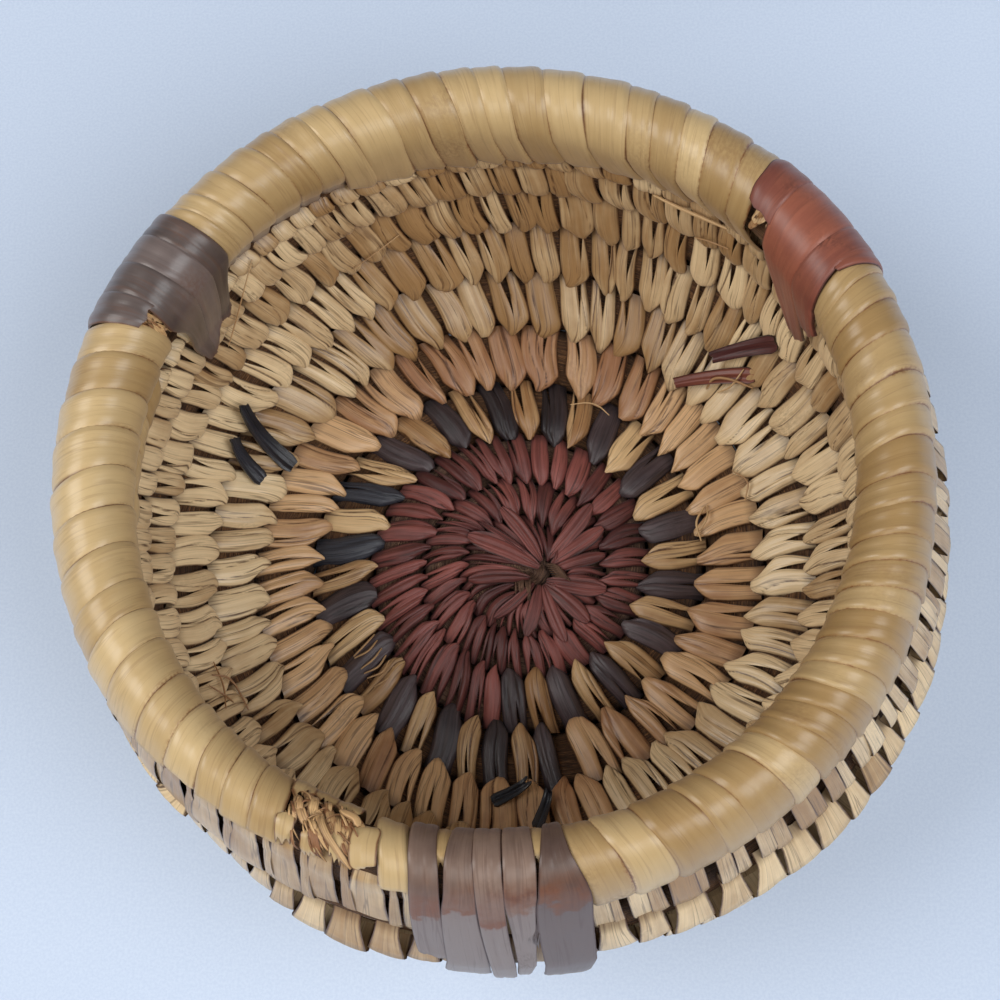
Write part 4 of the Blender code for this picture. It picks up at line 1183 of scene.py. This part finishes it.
def shreds(b, count, arounds, angles, run, veer, width, lift, rng):
    """Flat torn fibres lying mostly one way over a bare place of the rim."""
    for _ in range(count):
        start, place = rng.uniform(*arounds), rng.uniform(*angles)
        length, turn = rng.uniform(*run), rng.uniform(*veer)
        size = rng.uniform(*width)
        up = rng.uniform(*lift)
        lifts = [-0.3, up, up + rng.uniform(-0.2, 0.25), rng.uniform(-0.3, 0.1)]
        steps = [(start - length * f, place + turn * f, h) for f, h in zip((0, 0.33, 0.66, 1), lifts)]
        ribbon(b, steps, size, rng, rng.random(), taper=(0.5, 0.25), curl=0.08, thick=0.15, jag=size * 0.7)


rng = random.Random(21)
band_strip("red_strip_1", (29.2, 28.4, 25.8, 24.6, 23.4), (33.9, 32.7, 31.9, 31.0, 30.2),
           (-9.0, -5.5, -3.0, -1.2), -1, rng, brick_mat, "brick_leaf", 0.4, loose=True)
band_strip("red_strip_1_edge", (26.4, 28.0, 28.0, 28.0, 28.0), (30.3, 29.4, 28.8, 28.8, 28.8),
           (-1.5, 0.5), -1, rng, brick_mat, "brick_leaf", 0.45, ("red_strip_1",), 88.0, raised=-0.5)
band_strip("red_strips_2_and_3", (33.7, 32.6, 31.6, 30.9, 32.2), (42.2, 41.1, 39.5, 38.0, 36.4),
           (11.5, 14.5, 14.0, 11.5), -1, rng, brick_mat, "brick_leaf", 0.54,
           ("red_strip_2", "red_strip_3"), loose=True)
band_strip("red_strip_4", (42.0, 41.0, 39.5, 40.0, 40.0), (47.0, 45.9, 44.0, 44.0, 44.0),
           (1.6, 0.2, 0.0, -1.2), -1, rng, brick_mat, "brick_leaf", 0.38, None, 113.0)
b = Build()
shreds(b, 12, (112, 150), (39.6, 43.2), (24, 40), (-0.4, 0.4), (0.9, 2.0), (-0.9, -0.5), rng)
b.make("red_strip_4_core", stem_mat, ("red_strip_4",), "rim_leaf")
band_strip("grey_strip_1", (142.6, 141.5, 140.3, 142.4, 142.6), (146.8, 145.4, 144.8, 145.0, 145.3),
           (5.0, 7.5, 7.5, 6.4), -1, rng, grey_mat, "grey_leaf", 0.3)
band_strip("grey_strip_2", (146.6, 145.4, 144.6, 144.8, 145.6), (151.4, 150.3, 149.6, 149.4, 149.8),
           (6.5, 8.5, 11.5, 12.2), -1, rng, grey_mat, "grey_leaf", 0.6)
band_strip("grey_strip_3", (151.2, 150.1, 149.4, 149.2, 149.5), (156.2, 155.2, 155.9, 152.7, 151.8),
           (12.2, 12.3, 11.6, 8.0), -1, rng, grey_mat, "grey_leaf", 0.4)
band_strip("grey_strip_4", (156.0, 155.1, 155.0, 155.0, 155.0), (160.2, 159.2, 158.0, 158.0, 158.0),
           (0.8, -1.0, 0.6, -1.5), -1, rng, grey_mat, "grey_leaf", 0.5, None, 106.0)
b = Build()
shreds(b, 22, (118, 158), (155.2, 158.2), (16, 40), (-0.8, 0.8), (0.3, 1.1), (-1.0, 0.1), rng)
b.make("grey_strip_4_fibres", torn_mat, ("grey_strip_4",), "rim_leaf")
# Edges, reach of the torn tip, tone, how far it stands off, and how high the dip in dye reaches.
FRONT_STRIPS = [
    ((258.6, 260.1, 260.9, 260.6, 260.2), (262.2, 263.9, 264.6, 264.2, 263.2),
     (1.5, 2.0, 3.4, 4.6), 0.5, 1.4, 0.5),
    ((266.0, 265.2, 265.0, 264.0, 262.4), (268.4, 268.7, 268.9, 268.6, 267.8),
     (11.6, 12.4, 13.2, 13.4), 0.55, 2.0, 0.0),
    ((268.5, 268.8, 269.0, 268.8, 268.3), (272.4, 272.5, 272.4, 271.9, 270.9),
     (13.2, 14.6, 14.0, 12.6), 0.7, 2.6, 3.2),
    ((272.7, 272.7, 272.7, 272.4, 271.3), (275.8, 276.9, 276.6, 275.1, 272.9),
     (12.2, 12.8, 12.4, 11.4), 0.75, 2.0, -0.4),
    ((279.4, 278.0, 276.8, 275.6, 274.1), (280.6, 281.8, 283.2, 282.2, 279.6),
     (14.2, 14.6, 13.8, 12.4), 0.22, 2.4, -1.0),
]
for i, (low, high, ends, tone, stand, soaked) in enumerate(FRONT_STRIPS):
    band_strip("front_strip_%d" % (i + 1), low, high, ends, 1, rng, front_mat, "grey_leaf", tone,
               stand=stand, lap=0.12, tuck=0.45, soaked=soaked)
b = Build()
for k in range(8):
    a = 275.0 + 0.19 * k
    path = [(10.0, a + 0.8, 0.0), (-8.0, a + 0.6, 0.7), (-22.0, a + 0.3, 2.2),
            (-36.0, a + rng.uniform(-0.3, 0.3), 4.4), (-52.0, a - 0.4 + rng.uniform(-0.5, 0.5), 7.4)]
    ribbon(b, path, rng.uniform(0.25, 0.5), rng, rng.uniform(0.0, 0.3), curl=0.05)
b.make("front_strip_4_fibres", front_mat, ("front_strip_4",), "grey_leaf")
# Bits of undyed leaf that show on the rim between the front strips.
for number, path, width, taper, jag in (
        (1, [(170, 264.2, 0.2), (118, 264.4, 0.35), (104, 264.6, 0.4), (92, 264.7, 0.35),
             (80, 264.8, -0.6)], 4.6, (0.9, 0.5), 0.8),
        (4, [(170, 277.0, 0.2), (118, 277.3, 0.4), (104, 277.5, 0.45), (94, 277.6, 0.3),
             (84, 277.6, -0.6)], 5.4, (0.9, 0.4), 1.2)):
    b = Build()
    ribbon(b, path, width, rng, 0.4, taper=taper, jag=jag)
    name = "front_strip_%d" % number
    b.make(name + "_rest", rim_mat, (name,), "rim_leaf")


# Loose dyed ends, each a curled leaf held at its root by the rows.


def loose_leaf(name, root, tip, width, rng, material, slot, tone, curl=0.5, rise=2.2, jag=0.8):
    rows, cols = 22, 11
    share = np.linspace(0, 1, rows)
    w = np.linspace(-1, 1, cols)
    torn = jagged(rng, (w + 1) / 2, jag, 3)
    along = root[0] + (tip[0] - root[0]) * share
    radius = profile(along, 0.0)[0]
    sweep = np.radians(tip[1] - root[1]) * radius
    length = np.hypot(tip[0] - root[0], sweep)
    back = 1 - torn[None, :] / length[:, None] * np.clip((share[:, None] - 0.6) / 0.4, 0, 1)
    half = width / 2 * (1.0 - 0.35 * share) * np.minimum(1, 0.7 + share * 4)
    across = w[None, :] * half[:, None]
    a = root[0] + (tip[0] - root[0]) * share[:, None] * back - sweep[:, None] / length[:, None] * across
    g = root[1] + (tip[1] - root[1]) * share[:, None] * back
    g = g + np.degrees((tip[0] - root[0]) / length[:, None] * across / radius[:, None])
    lift = 0.15 + rise * share[:, None] ** 2 + 0.25 * np.sin(share[:, None] * 5 + rng.uniform(0, 6))
    cup = curl * (np.abs(w[None, :]) ** 2) * (0.5 + share[:, None])
    ridge = 0.25 * np.cos(w[None, :] * rng.uniform(3.5, 6) + rng.uniform(0, 6))
    top = wall(a, -(lift + cup + ridge + 0.5), g)
    under = wall(a, -(lift + cup + ridge), g)
    b = Build()
    centre = top[rows // 2, cols // 2]
    # The edges are marked dark in the side attribute: partly the leaf's own brown edge and partly painted
    # shade.
    sheet(b, top, under, across + 10, (share * length)[:, None], tone, np.abs(w)[None, :] ** 4,
          0.1 + 0.8 * share[:, None], rng.random(), centre + Vector((0, 0, 0.05)))
    b.make(name + "_leaf", material, (name,), slot)


rng = random.Random(8)
loose_leaf("black_end_1", (58.8, 157.5), (80.2, 153.5), 4.4, rng, black_mat, "dark_leaf", 0.3)
loose_leaf("black_end_2", (64.6, 163.5), (78.0, 159.5), 4.0, rng, black_mat, "dark_leaf", 0.5)
loose_leaf("black_end_3", (55.7, 263.5), (50.8, 272.5), 3.4, rng, black_mat, "dark_leaf", 0.3, jag=1.5)
loose_leaf("black_end_4", (62.4, 273.5), (53.5, 277.0), 3.0, rng, black_mat, "dark_leaf", 0.4, jag=1.5)
loose_leaf("red_end_1", (81.5, 37.5), (67.3, 46.0), 4.4, rng, red_mat, "brick_leaf", 0.05)
loose_leaf("red_end_2", (70.8, 37.0), (56.1, 49.5), 4.0, rng, brick_mat, "brick_leaf", 0.3, jag=0.5)


# The knot: a small pit in red straw with broad leaves drawn into it from one side.


def floor_point(x, y, lift):
    """World point of the bowl's bottom from flat coordinates, a little above the leaves."""
    along = np.hypot(x, y)
    radius, height = profile(along, -lift)
    return in_space(radius, height, np.degrees(np.arctan2(y, x)))


def petal(b, root, tip, width, rng, tone, bow=0.0, rise=1.0, sink=0.8):
    """A broad leaf lying on the first turns, its far end drawn down into the hole."""
    rows, cols = 25, 13
    s = np.linspace(0, 1, rows)[:, None]
    w = np.linspace(-1, 1, cols)[None, :]
    dx, dy = tip[0] - root[0], tip[1] - root[1]
    length = math.hypot(dx, dy)
    half = width / 2 * np.sin(np.pi * (0.06 + 0.9 * s ** 0.85)) ** 0.7 * (1 + 0.06 * np.sin(9 * s))
    side = half * w + bow * np.sin(np.pi * s)
    x = root[0] + dx * s - dy / length * side
    y = root[1] + dy * s + dx / length * side
    ridge = sum(rng.uniform(0.05, 0.16) * np.cos(w * rng.uniform(4, 12) + rng.uniform(0, 6))
                for _ in range(3))
    lift = rise * np.sin(np.pi * (0.1 + 0.85 * s)) ** 0.7 - sink * s ** 4 + 0.45 * (1 - w * w) + ridge
    top, under = floor_point(x, y, lift), floor_point(x, y, lift - 0.35)
    # Painted shade in the valleys between ridges, and at the edges, marked in the side attribute.
    dark = np.maximum(np.abs(w) ** 6 + 0 * s, np.clip(-ridge * 4 - 0.3, 0, 1) + 0 * s)
    sheet(b, top, under, half * w + rng.uniform(0, SMALL_SHIFT), s * length + rng.uniform(0, SMALL_SHIFT),
          tone, dark,
          0.05 + 0.9 * s, rng.random(), top[rows // 2, cols // 2] + np.array([0, 0, 0.05]))


def tube(b, points, size, tone=0.6, sides=6):
    """A fine stem through a few world points, thinner at both ends."""
    points = np.asarray(points, float)
    knots = np.linspace(0, 1, len(points))
    t = np.linspace(0, 1, 5 * len(points))
    line = np.stack([smooth(knots, points[:, k], t) for k in range(3)], -1)
    along = np.gradient(line, axis=0)
    along /= np.linalg.norm(along, axis=1)[:, None]
    across = np.cross(along, (0.0, 0.0, 1.0))
    across /= np.maximum(np.linalg.norm(across, axis=1), 1e-6)[:, None]
    up = np.cross(across, along)
    theta = np.linspace(0, 2 * math.pi, sides, endpoint=False)
    thick = size / 2 * np.sin(np.pi * (0.12 + 0.76 * t)) ** 0.5 * MM
    ring = across[:, None] * np.cos(theta)[None, :, None] + up[:, None] * np.sin(theta)[None, :, None]
    grid = line[:, None] + ring * thick[:, None, None]
    middle = len(t) // 2
    b.grid(grid, theta[None, :] * size / 2, t[:, None] * 10.0, tone, 0.0, 0.3, 0.5, wrap=True,
           towards=line[middle] + (grid[middle, sides // 2] - line[middle]) * 3)
    for row in (0, -1):
        cap = np.stack([grid[row], np.repeat(line[row][None], sides, 0)])
        b.grid(cap, 0.0, 0.0, tone, 0.0, 0.3, 0.5, wrap=True)


rng = random.Random(41)
b = Build()
r = np.linspace(0.02, 6.4, 26)[:, None]
theta = np.linspace(0, 2 * math.pi, 40, endpoint=False)[None, :]
pit = np.hypot(r * np.cos(theta) - 3.0, r * np.sin(theta) + 2.0)
lift = -0.9 - 2.2 * np.exp(-(pit / 1.7) ** 2) + 0.12 * np.sin(theta * 9 + r * 2)
lift = lift - 2.2 * np.clip((r - 4.8) / 1.6, 0, 1)
b.grid(floor_point(r * np.cos(theta), r * np.sin(theta), lift), r, theta * 5.0, 0.3, 0.0, 0.5, 0.5,
       wrap=True, towards=np.array([SHIFT_X * MM, SHIFT_Y * MM, 0.1]))
b.make("centre_knot_bed", red_straw_mat, ("centre_knot",), "red_leaf")
b = Build()
for root, tip, width, bow, tone in (
        ((-12.6, 6.9), (3.8, -0.6), 4.6, 0.5, 0.62), ((-5.0, 13.4), (4.3, 0.8), 3.7, 0.5, 0.58),
        ((-10.0, 10.0), (2.6, 1.2), 1.6, 0.3, 0.4),
        ((19.0, -6.0), (5.4, -3.8), 4.6, 0.3, 0.5), ((15.0, -13.6), (5.0, -4.6), 4.0, -0.4, 0.45),
        ((9.6, -18.2), (4.6, -4.9), 3.2, 0.3, 0.55), ((0.9, -16.8), (3.8, -4.8), 3.4, -0.4, 0.4),
        ((-6.4, -12.6), (2.6, -4.4), 2.6, -0.5, 0.5), ((-12.4, -3.6), (1.6, -3.0), 3.4, 0.4, 0.45),
        ((15.8, 14.0), (6.0, 1.6), 4.2, 0.4, 0.55), ((18.4, 8.4), (6.6, 0.2), 3.8, 0.2, 0.6),
        ((18.8, 2.0), (6.8, -1.4), 3.0, -0.2, 0.45)):
    petal(b, root, tip, width, rng, tone, bow, 1.0 if root[0] < -4 and root[1] > 0 else 0.6)
b.make("centre_knot_leaves", red_mat, ("centre_knot",), "red_leaf")
b = Build()
for k in range(7):
    rng.random()  # one draw passed over, so that each stem keeps its thickness
    x = 5.2 + np.array([0.0, 1.9, 3.6, 4.6]) * math.cos(0.2) + 0.28 * k
    y = -1.2 - 0.42 * k + np.array([1.4, 0.9, -0.2, -1.8]) * (0.9 - 0.06 * k)
    z = np.array([-0.6, 0.75, 0.7, -0.5])
    tube(b, floor_point(x, y, z + 0.35), rng.uniform(0.28, 0.55))
for k in range(9):
    x = np.linspace(-1.6, -1.2, 4) + 0.42 * k + np.array([0, 0.3, 0.5, 0.4]) * rng.uniform(-1, 1)
    y = np.linspace(-3.4, -9.5, 4) * rng.uniform(0.85, 1.1)
    tube(b, floor_point(x, y, np.array([-0.8, 0.35, 0.3, -0.6])), rng.uniform(0.3, 0.6))
b.make("centre_knot_stems", red_straw_mat, ("centre_knot",), "tan_leaf")


# The torn place in the rim: ragged strip ends over the bare bundle.


rng = random.Random(52)
b = Build()
ribbon(b, [(101, 247.0, 0.4), (92, 247.6, 1.4), (80, 248.8, 1.7), (65, 250.8, 1.3), (45, 253.2, 0.8)], 1.3,
       rng, 0.75)
ribbon(b, [(124, 249.0, 0.4), (116, 249.8, 1.3), (112, 251.6, 1.5), (104, 252.6, 0.9)], 1.5, rng, 0.9)
shreds(b, 46, (84, 140), (241.9, 250.8), (22, 46), (1.0, 4.6), (0.7, 1.9), (0.0, 0.7), rng)
shreds(b, 38, (66, 134), (242.0, 251.5), (14, 34), (0.4, 4.2), (0.25, 0.6), (0.3, 1.1), rng)
shreds(b, 10, (100, 126), (243.0, 250.0), (10, 24), (-2.6, -0.6), (0.25, 0.7), (0.3, 1.1), rng)
b.make("torn_strip_1_leaf", torn_mat, ("torn_strip_1",), "rim_leaf")
b = Build()
ribbon(b, [(112, 253.6, 0.1), (104, 253.8, 0.7), (88, 253.9, 0.75), (72, 254.2, 0.8), (54, 254.6, 0.75),
           (50, 254.8, 0.2)], 5.2, rng, 0.62, taper=(0.9, 0.94), curl=0.2, jag=0.3)
# Each strip's way over the rim, its width, tone, narrowed ends and how ragged its end is.
TORN_ENDS = [
    ([(212, 241.4, 0.2), (180, 241.8, 0.7), (160, 242.0, 0.7), (138, 242.4, 0.6), (124, 242.8, 0.2)],
     4.4, 0.5, (0.9, 0.5), 1.0),
    ([(212, 245.2, 0.2), (180, 245.4, 0.7), (160, 245.6, 0.7), (142, 246.0, 0.6), (130, 246.2, 0.2)],
     4.8, 0.35, (0.9, 0.4), 1.0),
    ([(84, 242.6, 0.2), (72, 243.0, 0.8), (56, 243.4, 0.9), (44, 243.6, 0.4)],
     3.6, 0.55, (0.5, 0.9), 1.2),
    ([(78, 246.4, 0.1), (66, 246.9, 0.7), (50, 247.2, 0.8), (42, 247.4, 0.3)],
     3.4, 0.45, (0.4, 0.9), 1.2),
    ([(96, 250.4, 0.1), (82, 250.4, 0.6), (64, 250.6, 0.8), (50, 250.8, 0.4)],
     2.6, 0.6, (0.5, 0.8), 1.0),
    ([(212, 249.2, 0.2), (180, 249.4, 0.7), (160, 249.6, 0.7), (138, 249.8, 0.6), (124, 250.2, 0.2)],
     5.0, 0.45, (0.9, 0.5), 1.2),
]
for path, width, tone, taper, jag in TORN_ENDS:
    ribbon(b, path, width, rng, tone, taper=taper, jag=jag)
b.make("torn_strip_2_leaf", rim_mat, ("torn_strip_2",), "rim_leaf")


# Loose stems and broken fibres on the rows.


def on_wall(*places):
    """World points from (along, angle, lift) places on the inner wall."""
    return np.array([wall(np.array(a), np.array(-h), np.array(g)) for a, g, h in places])


# Each stem's way over the rows, its thickness and its tone.
STEMS = [
    ("pale_round_5", "buff_leaf", [
        ([(102.0, 65.5, 0.4), (103.2, 61.0, 1.5), (104.2, 56.0, 1.6), (104.8, 51.5, 1.0)], 0.9, 0.9),
        ([(106.0, 135.5, 0.6), (101.5, 140.0, 1.6), (96.5, 143.5, 1.3), (91.6, 147.0, 0.5)], 0.35, 0.6),
        ([(94.0, 58.0, 0.8), (96.5, 55.0, 1.3), (97.0, 51.5, 0.6)], 0.4, 0.6),
        ([(84.0, 121.0, 0.6), (86.0, 116.0, 1.5), (87.5, 111.0, 0.6)], 0.3, 0.6)]),
    ("pale_round_2", "buff_leaf", [
        ([(59.7, 43.0, 0.4), (63.4, 42.8, 2.2), (66.4, 40.0, 2.4), (68.6, 35.5, 0.8)], 0.7, 0.4),
        ([(61.0, 40.5, 0.4), (65.0, 39.0, 1.6), (70.0, 39.5, 0.6)], 0.5, 0.8),
        ([(53.0, 23.5, 0.3), (55.5, 19.0, 1.2), (53.2, 15.0, 0.5)], 0.4, 0.6)]),
    ("ringed_round", "tan_leaf", [
        ([(40.0, 74.0, 0.6), (41.4, 69.0, 1.4), (41.8, 65.0, 1.3), (41.0, 60.5, 0.7)], 0.35, 0.9),
        ([(44.0, 17.5, 0.5), (41.0, 13.0, 1.5), (41.2, 7.0, 0.6)], 0.55, 0.9),
        ([(40.0, 9.0, 0.4), (43.5, 13.0, 1.8), (44.6, 17.5, 0.6)], 0.45, 0.9)]),
    ("pale_round_3", "buff_leaf", [
        ([(80.2, 204.5, 0.3), (77.6, 205.5, 1.6), (75.7, 207.5, 1.5), (74.4, 212.0, 0.5)], 0.5, 0.1),
        ([(82.9, 206.5, 0.3), (80.5, 209.0, 1.4), (77.5, 210.0, 0.4)], 0.4, 0.1),
        ([(78.2, 202.0, 0.3), (79.5, 207.0, 1.3), (81.0, 211.0, 0.4)], 0.4, 0.1)]),
]
for name, slot, stems in STEMS:
    b = Build()
    for places, size, tone in stems:
        tube(b, on_wall(*places), size, tone)
    if name == "ringed_round":
        for k in range(6):
            start = 206.0 + 2.6 * k + rng.uniform(-0.6, 0.6)
            tube(b, on_wall((37.5, start, 0.2), (40.5, start + 2, 0.9),
                            (44.0, start + rng.uniform(0, 4), 0.2)), 0.5)
    b.make(name + "_stems", stem_mat, (name,), slot)


# Floor, light and camera.

floor = bpy.data.meshes.new("floor")
HALF_FLOOR = 2
floor.from_pydata([(x * HALF_FLOOR, y * HALF_FLOOR, 0) for x, y in ((-1, -1), (1, -1), (1, 1), (-1, 1))],
                  [], [(0, 1, 2, 3)])
floor_object = bpy.data.objects.new("floor", floor)
bpy.context.scene.collection.objects.link(floor_object)
n = Nodes("floor_look")
cloth = n.noise(n.new("ShaderNodeTexCoord").outputs["Object"], 1500.0, 2.0, 0.6)
pale = n.mix(n.step(cloth, 0.3, 0.7), srgb(199, 213, 235), srgb(207, 220, 240))
n.link(pale, n.shader.inputs["Base Color"])
n.shader.inputs["Roughness"].default_value = 0.9
n.shader.inputs["Specular IOR Level"].default_value = 0.1
floor.materials.append(n.material)

world = bpy.data.worlds.new("soft_light")
world.use_nodes = True
world.node_tree.nodes["Background"].inputs["Color"].default_value = (0.93, 0.96, 1.0, 1.0)
world.node_tree.nodes["Background"].inputs["Strength"].default_value = 0.2
bpy.context.scene.world = world


def area_light(name, place, target, size, power, colour):
    light = bpy.data.lights.new(name, "AREA")
    light.shape = "DISK"
    light.size = size
    light.energy = power
    light.color = colour
    obj = bpy.data.objects.new(name, light)
    obj.location = place
    obj.rotation_euler = (Vector(target) - Vector(place)).to_track_quat("-Z", "Y").to_euler()
    bpy.context.scene.collection.objects.link(obj)


LIT_POINT = (0, 0, 0.04)
LAMP_SIZE = 0.9
area_light("front", (0, -0.85, 0.95), LIT_POINT, LAMP_SIZE, 4.2, (1.0, 0.98, 0.95))
area_light("left", (-0.85, -0.05, 0.9), LIT_POINT, LAMP_SIZE, 8.6, (1.0, 0.99, 0.97))
area_light("right", (0.78, -0.35, 0.92), LIT_POINT, LAMP_SIZE, 8.4, (0.96, 0.98, 1.0))

RIGHT = Vector((0.998127, 0.008640, -0.060563))
UP = Vector((0.008635, 0.960166, 0.279297))
FORWARD = Vector((-0.060564, 0.279297, -0.958293))
CAMERA_PLACE = (0.01895, -0.09000, 0.36792)
CAMERA_LENS = 57.58
SENSOR_WIDTH = 36.0
camera = bpy.data.cameras.new("camera")
camera.lens = CAMERA_LENS
camera.sensor_width = SENSOR_WIDTH
camera.sensor_fit = "HORIZONTAL"
camera.clip_start = 0.01
camera_object = bpy.data.objects.new("camera", camera)
turned = Matrix((RIGHT, UP, -FORWARD)).transposed().to_4x4()
camera_object.matrix_world = Matrix.Translation(CAMERA_PLACE) @ turned
bpy.context.scene.collection.objects.link(camera_object)
bpy.context.scene.camera = camera_object

view = bpy.context.scene.view_settings
view.view_transform = "Standard"

bpy.context.view_layer.update()
